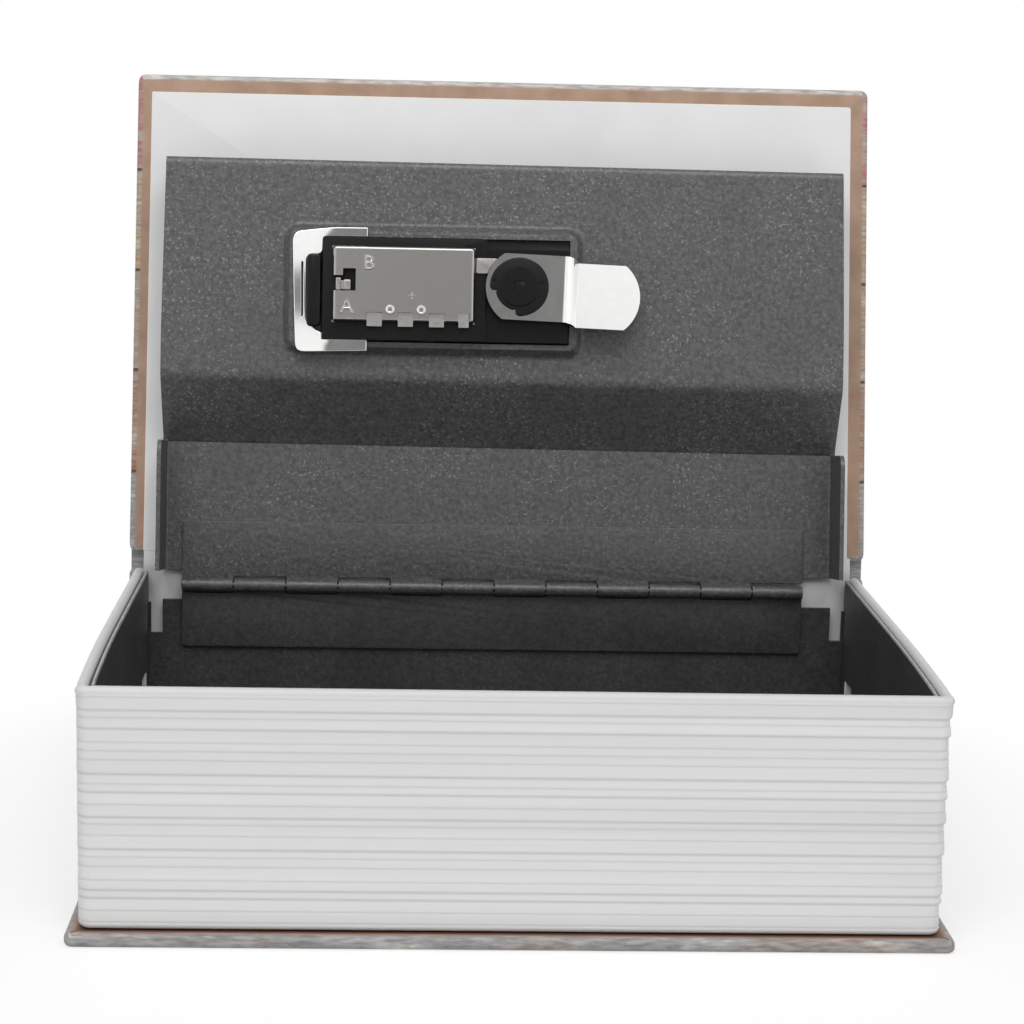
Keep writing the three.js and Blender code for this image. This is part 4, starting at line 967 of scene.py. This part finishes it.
# %% [markdown]
# The letters A and B beside the lever are the code-change positions that every such lock shows.
# They are pressed as outlines, so each is a thin raised line along the letter's edge.

# %% Letters


def letter_shell(text, height, x, s, t, place, line=0.1, filled=False):
    """A letter as a mesh shell of that height round (x, s): its outline as a round line, or filled
    and 0.1 mm thick."""
    curve = bpy.data.curves.new("letter " + text, "FONT")
    curve.body = text
    curve.size = height
    curve.resolution_u = 3
    if filled:
        curve.extrude = 0.05
    else:
        curve.fill_mode = "NONE"
        curve.bevel_depth = line
        curve.bevel_resolution = 1
    holder = bpy.data.objects.new("letter " + text, curve)
    mesh = bpy.data.meshes.new_from_object(holder)
    flat = np.array([v.co for v in mesh.vertices]).reshape(-1, 3)
    shell_faces = [list(f.vertices) for f in mesh.polygons]
    bpy.data.objects.remove(holder)
    bpy.data.curves.remove(curve)
    bpy.data.meshes.remove(mesh)
    low, high = flat.min(0), flat.max(0)
    flat[:, :2] = (flat - (low + high) / 2)[:, :2] * height / (high - low)[1]
    return place(flat[:, 0] + x, flat[:, 1] + s, flat[:, 2] + t), shell_faces


MARKS = (("B", 3.6, -35.4, 5.15, 0.15), ("A", 3.6, -40.6, -5.2, 0.15), ("+", 1.6, -25.2, -2.6, 0.05))
letters = [letter_shell(text, high, x, s, CASE_TOP, on_lock, line) for text, high, x, s, line in MARKS]
piece("case_letters", letters, "lid", bright_nickel, slot="nickel_plate")

# %% [markdown]
# Small stamped and riveted parts: the leaf spring with a finger in each notch, two hollow rivets,
# the change lever, the end stop, the spring clip round the body and the slide bar. Each is a plate
# with an eased outline, as a blanking tool leaves it, or a turned profile.

# %% Small lock parts
SPRING_FOOT, FINGER_TIP, FINGER_PLAY = -8.5, -9.9, 0.15
fingers = []
for x, w in NOTCHES:
    left, right_side = x - w / 2 + FINGER_PLAY, x + w / 2 - FINGER_PLAY
    fingers += [(left, SPRING_FOOT), (left, FINGER_TIP), (right_side, FINGER_TIP), (right_side, SPRING_FOOT)]
spring = [*fingers, (-11.4, SPRING_FOOT), (-11.4, -5.05), (-38.6, -5.05), (-38.6, SPRING_FOOT)]
spring = eased(spring, 0.2, 2)
piece(
    "detent_leaf_spring", [plate(spring, 15.45, 15.95, 0.1, on_lock)], "lid",
    satin_nickel, ["detent_spring"], "polished_steel",
)
RIVET_X, RIVET_S = (-30.4, -23.05), -5.9
rivet_profile = [
    (0.02, 15.0), (1.1, 15.05), (1.15, 15.25), (0.7, 15.3), (0.7, 17.0), (1.1, 17.03), (1.15, 17.2),
    (1.0, 17.4), (0.75, 17.45), (0.55, 17.4), (0.5, 17.1), (0.5, 16.0), (0.02, 16.0),
]
for number, x in enumerate(RIVET_X, 1):
    made = turned(rivet_profile, lock_at(x, RIVET_S), 24)
    piece(f"hollow_rivet_{number}", [made], "lid", bright_nickel, [f"case_rivet_{number}"], "polished_steel")
lever_shells = [
    slab(-43.3, -42.1, -1.45, 1.6, 0.2, 14.45, 16.1, 0.15, on_lock, 2),
    slab(-41.4, -39.8, -1.45, 1.0, 0.2, 14.45, 16.9, 0.2, on_lock, 2),
    slab(-43.2, -39.9, -1.3, 0.9, 0.2, 14.5, 15.4, 0.15, on_lock, 2),
]
piece("code_lever", lever_shells, "lever", satin_nickel, ["change_lever"], "polished_steel")
stop = slab(-50.2, -46.9, -10.0, 7.3, 1.2, 11.75, 14.55, 0.5, on_lock)
piece("stop_block", [stop], "lid", black_plastic, ["end_stop"], "black_plastic")
CLIP_TOP = 12.55


def clip_height(x, s):
    """A bow along s, t = 13.05 - 0.0035 (s + 2)^2, that eases out along the arms to the right."""
    arm = np.clip((x + 47.5) / 3, 0, 1)
    return CLIP_TOP + 0.5 - 0.0035 * ((1 - arm) * (s + 2) ** 2 + arm * 200)


CLIP_STEPS, CLIP_ACROSS = 14, np.array([0, 0.2, 0.45, 0.63, 0.77, 0.9, 1])
outer_way = eased([(-35.9, -15.5), (-52.8, -16.0), (-53.8, 12.6), (-45, 13.7), (-36.0, 13.8)],
                  (0, 2.2, 2.4, 3, 0), CLIP_STEPS)
inner_way = eased([(-35.9, -11.3), (-47.2, -11.3), (-50.4, -8.6), (-50.4, 6.9), (-46.6, 7.5), (-46.5, 11.6),
                   (-36.0, 11.6)], (0, 1, 1.2, 1.2, 1, 1, 0), CLIP_STEPS)


def along_way(way, share, ends):
    """Points on a line at shares of its length, the closing side left out."""
    way = way[ends : len(way) - ends]
    run = travelled(way)
    return np.stack([np.interp(share * run[-1], run, way[:, i]) for i in (0, 1)], -1)


share = np.linspace(0, 1, 90)
outer_line, inner_line = (along_way(way, share, CLIP_STEPS) for way in (outer_way, inner_way))
blank = outer_line[:, None] + (inner_line - outer_line)[:, None] * CLIP_ACROSS[:, None]
field = on_lock(blank[..., 0], blank[..., 1], clip_height(blank[..., 0], blank[..., 1]))
middle = (blank[:-1, :-1] + blank[1:, 1:]) / 2
slot_cell = (middle[..., 0] < -51.0) & (middle[..., 1] > -7.3) & (middle[..., 1] < 5.4)
slot_cell &= (np.arange(len(CLIP_ACROSS) - 1) == 3)[None]
clip = piece("body_clip", [sheet_without(field, slot_cell)], "lid", bright_nickel,
             ["spring_clip"], "polished_steel", closed=False)
thick(clip, 0.8, 0.18)
bar = slab(-10.2, -5.2, 3.2, 6.8, 0.4, 14.45, 14.85, 0.08, on_lock)
piece("case_slide_bar", [bar], "lid", satin_nickel, ["slide_bar"], "nickel_plate")

# %% [markdown]
# The cam is one strip of bright nickelled steel: a round end over the spindle, a crank down and a
# tongue with a blunt round tip. As a surface it is a path in side view whose half width changes
# along the way: sqrt(R^2 - x^2) at both ends, R being larger than the half width, and even between.
# The tongue sits 1.2 mm off the middle and tips by 4 degrees, so it catches more light than the cam.

# %% Cam and tongue
CAM_TOP, CAM_HALF, CAM_ROUND, CAM_LEFT = 16.15, 7.8, 9.37, -7.9
FALL_START, FALL_END = 10.5, 13.8
TONGUE_TOP, TONGUE_HALF, TONGUE_ROUND, TONGUE_TIP, TONGUE_DOWN = 14.05, 7.67, 10.0, 28.9, 1.2
CAM_TURN, TONGUE_TILT = math.radians(-2), math.tan(math.radians(4))
end_turn = np.sin(np.linspace(0.06, math.pi / 2, 12))
way = np.concatenate([
    CAM_LEFT + 4.1 * (1 - np.cos(np.linspace(0.05, math.pi / 2, 14))),
    np.linspace(-3.5, FALL_START - 0.4, 8),
    np.linspace(FALL_START - 0.1, FALL_END + 0.1, 14),
    np.linspace(FALL_END + 0.5, TONGUE_TIP - 3.7, 6),
    TONGUE_TIP - 3.5 * (1 - end_turn),
])
fall = np.clip((way - FALL_START) / (FALL_END - FALL_START), 0, 1)
fall = 0.5 - 0.5 * np.cos(math.pi * fall**1.35)
round_end = np.sqrt(np.clip(CAM_ROUND**2 - np.minimum(way - CAM_LEFT - CAM_ROUND, 0) ** 2, 0.01, None))
tip = np.sqrt(np.clip(TONGUE_ROUND**2 - np.maximum(way - TONGUE_TIP + TONGUE_ROUND, 0) ** 2, 0.01, None))
half_width = np.minimum(np.minimum(round_end, tip), CAM_HALF + (TONGUE_HALF - CAM_HALF) * fall)
across = np.sin(np.linspace(-math.pi / 2, math.pi / 2, 15))
gx = way[:, None] + 0 * across
over = half_width[:, None] * across
gs = over - TONGUE_DOWN * fall[:, None]
gt = CAM_TOP - (CAM_TOP - TONGUE_TOP + TONGUE_TILT * over) * fall[:, None]
cos_turn, sin_turn = math.cos(CAM_TURN), math.sin(CAM_TURN)
surface = on_lock(gx * cos_turn - gs * sin_turn, gx * sin_turn + gs * cos_turn, gt)
cam = piece("cam_and_tongue", [ring_faces(surface, around=False, caps=False)], "cam", bright_nickel,
            ["cam_plate"], "polished_steel", closed=False)
thick(cam, 1.0, 0.35)

# %% [markdown]
# A black boss sits on the cam. Its outline in polar form is 7 mm, and 5.75 mm over the lower left
# quarter, which is where a stop in the body runs; round hollows end that quarter. On it stands a
# ring round the square of the spindle, whose inner radius is 1.2 / max(|cos a|, |sin a|).
# A spacer ring lies under the cam.

# %% Boss, spacer
BOSS, BOSS_CUT, SQUARE = 7.0, 5.75, 1.2
angle = np.linspace(0, 2 * math.pi, 180, endpoint=False)
degrees = np.degrees(angle)
radius = np.where((degrees > 188) & (degrees < 262), BOSS_CUT, BOSS)
for hollow in (188, 262):
    radius = radius - 0.5 * np.exp(-(((degrees - hollow) / 4) ** 2))
boss = np.stack([radius * np.cos(angle), radius * np.sin(angle)], -1)


def tube(outer, inner, low, high, edge, place, sides=48, out_of=None):
    """A ring with rounded edges. Its outer and inner radius may differ from angle to angle."""
    a = np.linspace(0, 2 * math.pi, sides, endpoint=False)
    rim = outer + 0 * a if out_of is None else out_of(a)
    r = np.stack([rim - edge, rim, rim, rim - edge, inner + edge + 0 * a, inner + 0 * a, inner + 0 * a,
                  inner + edge + 0 * a])
    h = np.array([low, low + edge, high - edge, high, high, high - edge, low + edge, low])[:, None]
    rings = place(r * np.cos(a), r * np.sin(a), h + 0 * a)
    rings = np.concatenate([rings, rings[:1]])
    points, faces = ring_faces(rings, caps=False)
    count = 8 * sides
    return points[:count], [[i % count for i in face] for face in faces]


ring_in = SQUARE / np.maximum(np.abs(np.cos(angle[::3])), np.abs(np.sin(angle[::3])))
nib = [(0.02, 17.6), (0.42, 17.6), (0.4, 18.1), (0.25, 18.3), (0.02, 18.34)]
NIBS = ((-5.9, 1.7), (5.4, 1.2))
boss_shells = [
    plate(boss, 16.35, 18.0, 0.35, on_lock),
    tube(4.7, ring_in, 17.5, 18.34, 0.15, on_lock, 60),
    *[turned(nib, lock_at(*place), 12) for place in NIBS],
]
piece("notched_boss", boss_shells, "cam", black_plastic, ["cam_boss"], "black_plastic")
spacer = tube(5, 3.5, 12.85, 14.85, 0.2, on_lock)
piece("spacer_ring", [spacer], "cam", black_plastic, ["cam_spacer"], "black_plastic")

# %% [markdown]
# Each dial is a black ring with ten number faces and a groove between each two: its radius is
# 6 - 0.5 exp(-(d/3 deg)^2), d being the angle from the nearest groove. The figures 0 to 9 are
# painted in. In each dial turns a brass coding sleeve with one gate, on a steel axle.

# %% Dials
DIAL_X, DIAL_S, DIAL_T, DIAL_RADIUS, FACES = (-34.4, -27.0, -19.6), -0.2, 9.55, 6.0, 10
SLEEVE_RADIUS, GATE_RADIUS, GATE_HALF = 2.9, 2.1, 0.8


def groove(a):
    """Radius of a dial at an angle."""
    away = np.angle(np.exp(1j * FACES * (a - math.pi / FACES))) / FACES
    return DIAL_RADIUS - 0.5 * np.exp(-((np.degrees(away) / 3) ** 2))


def gate(a):
    """Radius of a coding sleeve at an angle: less where its gate is cut."""
    away = np.minimum(np.abs(np.angle(np.exp(1j * a))), 1.5)
    return np.where(SLEEVE_RADIUS * np.sin(away) < GATE_HALF, GATE_RADIUS, SLEEVE_RADIUS)


BODIES = ("first_dial", "second_dial", "third_dial")
for number, (x, body) in enumerate(zip(DIAL_X, BODIES), 1):
    def across_lock(a, b, c, x=x):
        return on_lock(c + x, b + DIAL_S, a + DIAL_T)

    piece(f"number_dial_{number}", [tube(0, 3.2, -2.3, 2.3, 0.25, across_lock, 120, groove)], body,
          black_plastic, [f"dial_{number}"], "dial_plastic")
    piece(f"coding_sleeve_{number}", [tube(0, 1.5, -2.3, 2.3, 0.1, across_lock, 72, gate)], body,
          turned_brass, [f"dial_sleeve_{number}"], "brass")
    figures = []
    for figure in range(FACES):
        turn = 2 * math.pi * figure / FACES

        def on_face(u, v, w, turn=turn, across_lock=across_lock):
            r = DIAL_RADIUS + w
            a = r * np.cos(turn) - v * np.sin(turn)
            b = r * np.sin(turn) + v * np.cos(turn)
            return across_lock(a, b, u)

        figures.append(letter_shell(str(figure), 2.1, 0, 0, -0.02, on_face, filled=True))
    piece(f"figures_{number}", figures, body, figure_paint, slot="dial_plastic")
axle = [(0.02, -40.7), (1.0, -40.7), (1.2, -40.5), (1.2, -13.5), (1.0, -13.3), (0.02, -13.3)]
axle = turned(axle, lambda a, b, c: on_lock(c, b + DIAL_S, a + DIAL_T), 20)
piece("dial_spindle", [axle], "lid", drawn_steel_painted_dark, ["dial_axle"], "pin_steel")

# %% [markdown]
# A hard cover is a board of 1.8 mm wrapped in paper that is turned in all round, with mitred
# corners, and a sheet of endpaper over the turned-in margin.
# The wrap is a stack of rounded rectangles: from the middle of the outer face to its edge, round
# the edge, a turn-in of 12 mm on the inner face, and back inside by the paper's thickness.

# %% Cover wraps
COVER_HALF = 90.0
PAPER, TURN_IN, EDGE_ROUND, CORNER_ROUND = 0.4, 12.0, 1.1, 2.2
FAR_IN = 20  # inset of the first and last ring, where the stack is closed
PAST_EDGE = 2.3  # way along the paper, past which it lies on the inner face


def subdivided(outline, step):
    """The outline with points added so that no side is longer than step."""
    after = np.roll(outline, -1, 0)
    parts = np.maximum(np.ceil(np.linalg.norm(after - outline, axis=1) / step).astype(int), 1)
    share = np.concatenate([np.arange(n) / n for n in parts])[:, None]
    return np.repeat(outline, parts, 0) * (1 - share) + np.repeat(after, parts, 0) * share


def wrapped_board(low, high, place, sheet_of, face_t, inner_t, tan_from, foot_shadow_at=None, steps=6):
    """The wrap of one board. Ring by ring: inset d from the outline, at height t; the two edges are
    quarter circles. A ring is the box drawn in by d, with corners of radius less d. Returns the shell
    with the sheet's coordinates, the turned-in share, past 1 as painted shadow under the page block's
    foot, and the nearness of the mitres, which masks painted shade along their folds."""
    direction = 1 if inner_t > face_t else -1
    a = np.linspace(0, math.pi / 2, steps + 1)
    ease_in, ease_up = EDGE_ROUND * (1 - np.sin(a)), EDGE_ROUND * (1 - np.cos(a))
    turned_back = [1.5, 1.9, 2.4, 3.2, 6, TURN_IN, TURN_IN, 1.2, 0.4 + PAPER, FAR_IN]
    inset = np.concatenate([[FAR_IN], ease_in, ease_in[::-1], turned_back])
    level = np.concatenate([
        [face_t], face_t + direction * ease_up, inner_t - direction * ease_up[::-1], np.full(6, inner_t),
        np.full(2, inner_t - direction * PAPER), np.full(2, face_t + direction * PAPER),
    ])
    base = subdivided(rectangle(-COVER_HALF, COVER_HALF, low, high, CORNER_ROUND, 8), 3.0)
    first, last = np.array([-COVER_HALF, low]), np.array([COVER_HALF, high])
    core = np.clip(base, first + CORNER_ROUND, last - CORNER_ROUND)
    shrunk = np.maximum(CORNER_ROUND - inset, 0)[:, None, None] / CORNER_ROUND
    flat = core + (base - core) * shrunk
    flat = np.clip(flat, first + inset[:, None, None], last - inset[:, None, None])
    heights = level[:, None] + 0 * flat[..., 0]
    travel = travelled(np.stack([inset, level], -1))
    past = travel - travel[1 + steps]
    around = np.clip(past, 0, None)[:, None]
    outward = drawn_in(base, -1) - base
    on_face = (past < 0)[:, None]
    u = np.where(on_face, flat[..., 0], base[:, 0] + outward[:, 0] * around)
    v = np.where(on_face, flat[..., 1], base[:, 1] + outward[:, 1] * around)
    margin = np.clip((past - tan_from) / 0.25, 0, 1)
    # painted shadow under the page block's foot: from 1.6 mm in, the share climbs past 1
    if foot_shadow_at:
        margin += (past > PAST_EDGE) * np.clip((inset - 1.6) / (foot_shadow_at - 1.6), 0, 1)
    aside = np.minimum(flat - first, last - flat)
    off_mitre = np.abs(aside[..., 0] - aside[..., 1]) / math.sqrt(2)
    # the mitres' nearness masks painted shade along the folds
    mitre = np.clip(1 - off_mitre / 3, 0, 1) * (past > PAST_EDGE)[:, None]
    shell = ring_faces(place(flat[..., 0], flat[..., 1], heights))
    uv = np.stack(sheet_of(u, v), -1).reshape(-1, 2)
    return shell, uv, (margin[:, None] + 0 * u).ravel(), mitre.ravel()


COVER_FOOT, COVER_TOP = 1.65, 118.7
front_shell, front_uv, front_margin, front_mitre = wrapped_board(
    COVER_FOOT, COVER_TOP, on_cover, lambda u, v: (u, COVER_TOP - v), -1.4, 1.4, 2.5
)
piece("front_cover_paper", [front_shell], "front_cover", cover_paper, ["front_cover_wrap"],
      "printed_paper", uv=front_uv, merge=True,
      values={"turned_in_and_foot_shadow": front_margin, "mitre": 0.3 * front_mitre})
# the last number, 2.6 mm, is where the painted shadow under the page block's foot is full
back_shell, back_uv, back_margin_and_foot_shadow, back_mitre = wrapped_board(
    -2.4, 110.3, on_box, lambda u, v: (u, 287 - v), 0, 2.8, 2.3, 2.6
)
spine_shell, spine_uv, spine_margin, spine_mitre = wrapped_board(
    3.6, 53.0, upright, lambda u, v: (u, 172 - v), 117.7, 114.9, 1.9
)


def ribbon(path, sheet, sheet_start, x_half, columns, front=0.0):
    """A strip of paper along a path in y and z: closed rings across, carried along x. Returns its
    shell and the sheet's coordinates."""
    section = strip_section(path, sheet)
    xs = np.linspace(-x_half, x_half, columns)
    rings = np.stack(np.broadcast_arrays(xs[:, None], section[:, 0] + front, section[:, 1]), -1)
    run = travelled(path)
    v = sheet_start - np.concatenate([run, run[::-1]])
    uv = np.stack([xs[:, None] + 0 * v, v + 0 * xs[:, None]], -1).reshape(-1, 2)
    return ring_faces(rings), uv


fold = np.array(eased_path([(109.0, 0.03), (117.66, 0.03), (117.66, 4.8)], 2.2, 8))
fold_shell, fold_uv = ribbon(fold, 0.8, 178.0, 89.7, 24, PAGES_Y)
plain = np.zeros(len(fold_uv))
piece("back_and_spine_paper", [back_shell, spine_shell, fold_shell], "box", cover_paper,
      ["back_spine_wrap"], "printed_paper",
      uv=np.concatenate([back_uv, spine_uv, fold_uv]), merge=True,
      values={"turned_in_and_foot_shadow": np.concatenate([back_margin_and_foot_shadow, spine_margin, plain]),
              "mitre": np.concatenate([back_mitre, spine_mitre, plain])})

# %% [markdown]
# Inside the wraps lie the greyboards, and over their margins the endpapers. The white lining of
# the spine goes on over the joint to the front cover, so a pale strip shows behind the hinge.

# %% Boards and endpapers
BOARD_HALF, LINING_HALF = 89.5, 86.6
BOARDS = (
    ("back_greyboard", "box", on_box, "back_board", (-1.9, 109.8), (0.5, 2.3)),
    ("spine_greyboard", "box", upright, "spine_board", (4.1, 52.5), (115.4, 117.2)),
    ("front_greyboard", "front_cover", on_cover, "front_board", (6.5, 118.2), (-0.9, 0.9)),
)
for name, body, place, node, reach, faces in BOARDS:
    board = slab(-BOARD_HALF, BOARD_HALF, *reach, 1, *faces, 0.1, place)
    piece(name, [board], body, greyboard, [node], "greyboard")
LININGS = (
    ("back_paper_lining", "box", on_box, endpaper, ["back_endpaper"],
     (-LINING_HALF, LINING_HALF, 2.4, 110.3), (2.8, 3.0)),
    ("front_paper_lining", "front_cover", on_cover, endpaper, ["front_endpaper"],
     (-86.4, 85.6, 1.9, 114.1), (1.5, 1.72)),
    ("front_lining_edge", "front_cover", on_cover, cream_edge, (), (-86.55, 85.4, 1.8, 114.25), (1.42, 1.62)),
    ("spine_paper_lining", "box", upright, endpaper, ["spine_lining"],
     (-LINING_HALF, LINING_HALF, 3.6, 53.0), (114.7, 114.9)),
)
for name, body, place, finish, nodes, outline, faces in LININGS:
    piece(name, [slab(*outline, 0.4, *faces, 0.05, place)], body, finish, nodes, "white_paper")

# %% [markdown]
# The front joint is a strip of paper on cloth that bends twice: over the spine's edge and again
# under the front cover.

# %% Front joint
spine_edge = (117.3 + PAGES_Y, 53.0)
foot_y, foot_z = on_cover(0, 6.0, -1.2)[1:]
joint_path = np.array(
    [(spine_edge[0], 49.5), spine_edge, (JOINT[0] + 1.25, JOINT[1] - 0.4), (JOINT[0] + 1.3, JOINT[1] + 0.9),
     tuple(on_cover(0, 2.0, -0.9)[1:]), tuple(on_cover(0, 6.2, -0.9)[1:])]
)
print("joint path, mm:", joint_path.round(2).tolist())


def joint_strip(name, path, sheet, x_half, material, sheet_start=0.0, nodes=()):
    """A strip along a path that lies between two bodies, its section even along the book. It rides on no
    body.
    """
    shell, uv = ribbon(path, sheet, sheet_start, x_half, 12)
    made = piece(name, [shell], None, material, uv=uv, values={"turned_in_and_foot_shadow": np.zeros(len(uv))})
    if nodes:
        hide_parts(*nodes)
    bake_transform(made)
    return made


def resample(path, count):
    """Points at even steps along a path."""
    run = travelled(path)
    at = np.linspace(0, run[-1], count)
    return np.stack([np.interp(at, run, path[:, i]) for i in (0, 1)], -1)


outer_low = resample(joint_path[:4], 16)
outer_high = resample(joint_path[3:], 14)
joint_strip("joint_cloth_lower", outer_low, 0.6, 89.6, joint_paper,
            124.0, ["front_joint_cloth"])
joint_strip("joint_cloth_upper", outer_high, 0.6, 89.6, joint_paper,
            118.0)
inner_path = resample(np.array([(57.0, 32.0), (57.0, 53.4), (57.1, 54.4), tuple(on_cover(0, 0.9, 1.4)[1:]),
                                tuple(on_cover(0, 2.4, 1.3)[1:])]), 48)
joint_strip("joint_paper_lining", inner_path, 0.2, 86.4, endpaper,
            124.0)

# %% [markdown]
# A plain floor and soft light, as in a product photo. The sky is a white card for the camera
# and a softer light for the object. One large lamp stands above and before it, two at its sides.
# The tent of a product photo has a dim opening for the lens: flat metal that mirrors it looks grey,
# and metal that tips away from it by a few degrees looks white.

# %% Stage, light and camera
ground = new_material("White studio paper", IOR=1.45, Roughness=0.9)
place = spot_in(ground)
dress(ground, ramp(ground, noise(ground, place, 3.0, 2.0), (0.2, "#fafafa"), (0.8, "#ffffff")))
away = add_node(ground, "VectorMath", {0: place}, operation="LENGTH").outputs["Value"]
white = mapped(ground, away, 0.1, 0.19, 0.58, 1.0, interpolation_type="SMOOTHSTEP")
seen = maths(ground, "MULTIPLY", white, add_node(ground, "LightPath").outputs["Is Camera Ray"])
glow = add_node(ground, "Emission", {"Color": (1, 1, 1, 1), "Strength": 1.0})
floor_nodes = ground.node_tree.nodes
both = {0: seen, 1: floor_nodes["Principled BSDF"].outputs[0], 2: glow.outputs[0]}
floor_mix = add_node(ground, "MixShader", both)
ground.node_tree.links.new(floor_mix.outputs[0], floor_nodes["Material Output"].inputs["Surface"])
ground_mesh = bpy.data.meshes.new("studio_floor")
REACH = 3.0
ground_mesh.from_pydata([(-REACH, -REACH, 0), (REACH, -REACH, 0), (REACH, REACH, 0), (-REACH, REACH, 0)],
                        [], [(0, 1, 2, 3)])
ground_mesh.materials.append(ground)
shown("studio_floor", ground_mesh)


def placed(made, right_side, up, back, place):
    """The object's own x, y and z axes and its place are the columns of its matrix."""
    columns = np.column_stack([right_side, up, back, place])
    made.matrix_world = Matrix([*columns.tolist(), [0, 0, 0, 1]])


def lamp(name, place, aim, size, watts):
    """A rectangular softbox at a place, turned so that it faces the aim."""
    light = bpy.data.lights.new(name, "AREA")
    light.shape = "RECTANGLE"
    light.size, light.size_y = size
    light.energy = watts
    back = np.asarray(place, float) - np.asarray(aim, float)
    back /= np.linalg.norm(back)
    side = np.cross((0, 0, 1), back)
    side /= np.linalg.norm(side)
    placed(shown(name, light), side, np.cross(back, side), back, place)


AIM = (0, 0, 0.07)
lamp("top softbox", (-0.05, -0.55, 0.95), AIM, (0.9, 0.6), 8.0)
lamp("left softbox", (-0.9, -0.5, 0.4), AIM, (0.5, 0.7), 0.65)
lamp("right softbox", (0.9, -0.6, 0.45), AIM, (0.5, 0.7), 1.25)

world = bpy.data.worlds.new("studio")
bpy.context.scene.world = world
world.use_nodes = True
WHITE, AMBIENT, GLOSSY_SKY, LENS_DIM = (1, 1, 1, 1), 0.32, 1.35, 0.25
LENS_DIRECTION = (0.02, -0.966, 0.257)
world_nodes = world.node_tree.nodes
ambient = world_nodes["Background"]
ambient.inputs["Color"].default_value = WHITE
ambient.inputs["Strength"].default_value = AMBIENT
card = add_node(world, "Background", {"Color": WHITE, "Strength": 1.0})
ray = add_node(world, "LightPath").outputs
through = maths(world, "MAXIMUM", ray["Is Camera Ray"], ray["Is Transmission Ray"])
direction = add_node(world, "TexCoord").outputs["Generated"]
facing = add_node(world, "VectorMath", {0: direction, 1: LENS_DIRECTION}, operation="DOT_PRODUCT")
wide, narrow = (math.cos(math.radians(v)) for v in (8.0, 4.5))
dim = mapped(world, facing.outputs["Value"], wide, narrow, GLOSSY_SKY, LENS_DIM,
             interpolation_type="SMOOTHSTEP")
gleam = add_node(world, "Background", {"Strength": dim})
two_skies = {"Fac": ray["Is Glossy Ray"], 1: ambient.outputs[0], 2: gleam.outputs[0]}
shiny = add_node(world, "MixShader", two_skies)
choose = add_node(world, "MixShader", {"Fac": through, 1: shiny.outputs[0], 2: card.outputs[0]})
world.node_tree.links.new(choose.outputs[0], world_nodes["World Output"].inputs["Surface"])

FOCAL_PIXELS, PHOTO_PIXELS, SENSOR = 2421.81, 1024, 36.0
PITCH_DOWN, YAW, ROLL = (math.radians(v) for v in (10.5126, 2.5287, 1.3521))
EYE = np.array([-22.709, -522.413, 175.849]) * MM
level = math.cos(PITCH_DOWN)
ahead = np.array([math.sin(YAW) * level, math.cos(YAW) * level, -math.sin(PITCH_DOWN)])
side = np.array([math.cos(YAW), -math.sin(YAW), 0])
up = np.cross(side, ahead)
rolled_side = math.cos(ROLL) * side + math.sin(ROLL) * up
rolled_up = -math.sin(ROLL) * side + math.cos(ROLL) * up
camera_data = bpy.data.cameras.new("camera")
camera_data.lens = FOCAL_PIXELS / PHOTO_PIXELS * SENSOR
camera_data.sensor_width = SENSOR
camera_data.sensor_fit = "HORIZONTAL"
camera = shown("camera", camera_data)
placed(camera, rolled_side, rolled_up, -ahead, EYE)
bpy.context.scene.camera = camera
bpy.context.scene.view_settings.view_transform = "Standard"
print("lens, mm:", round(camera_data.lens, 2))
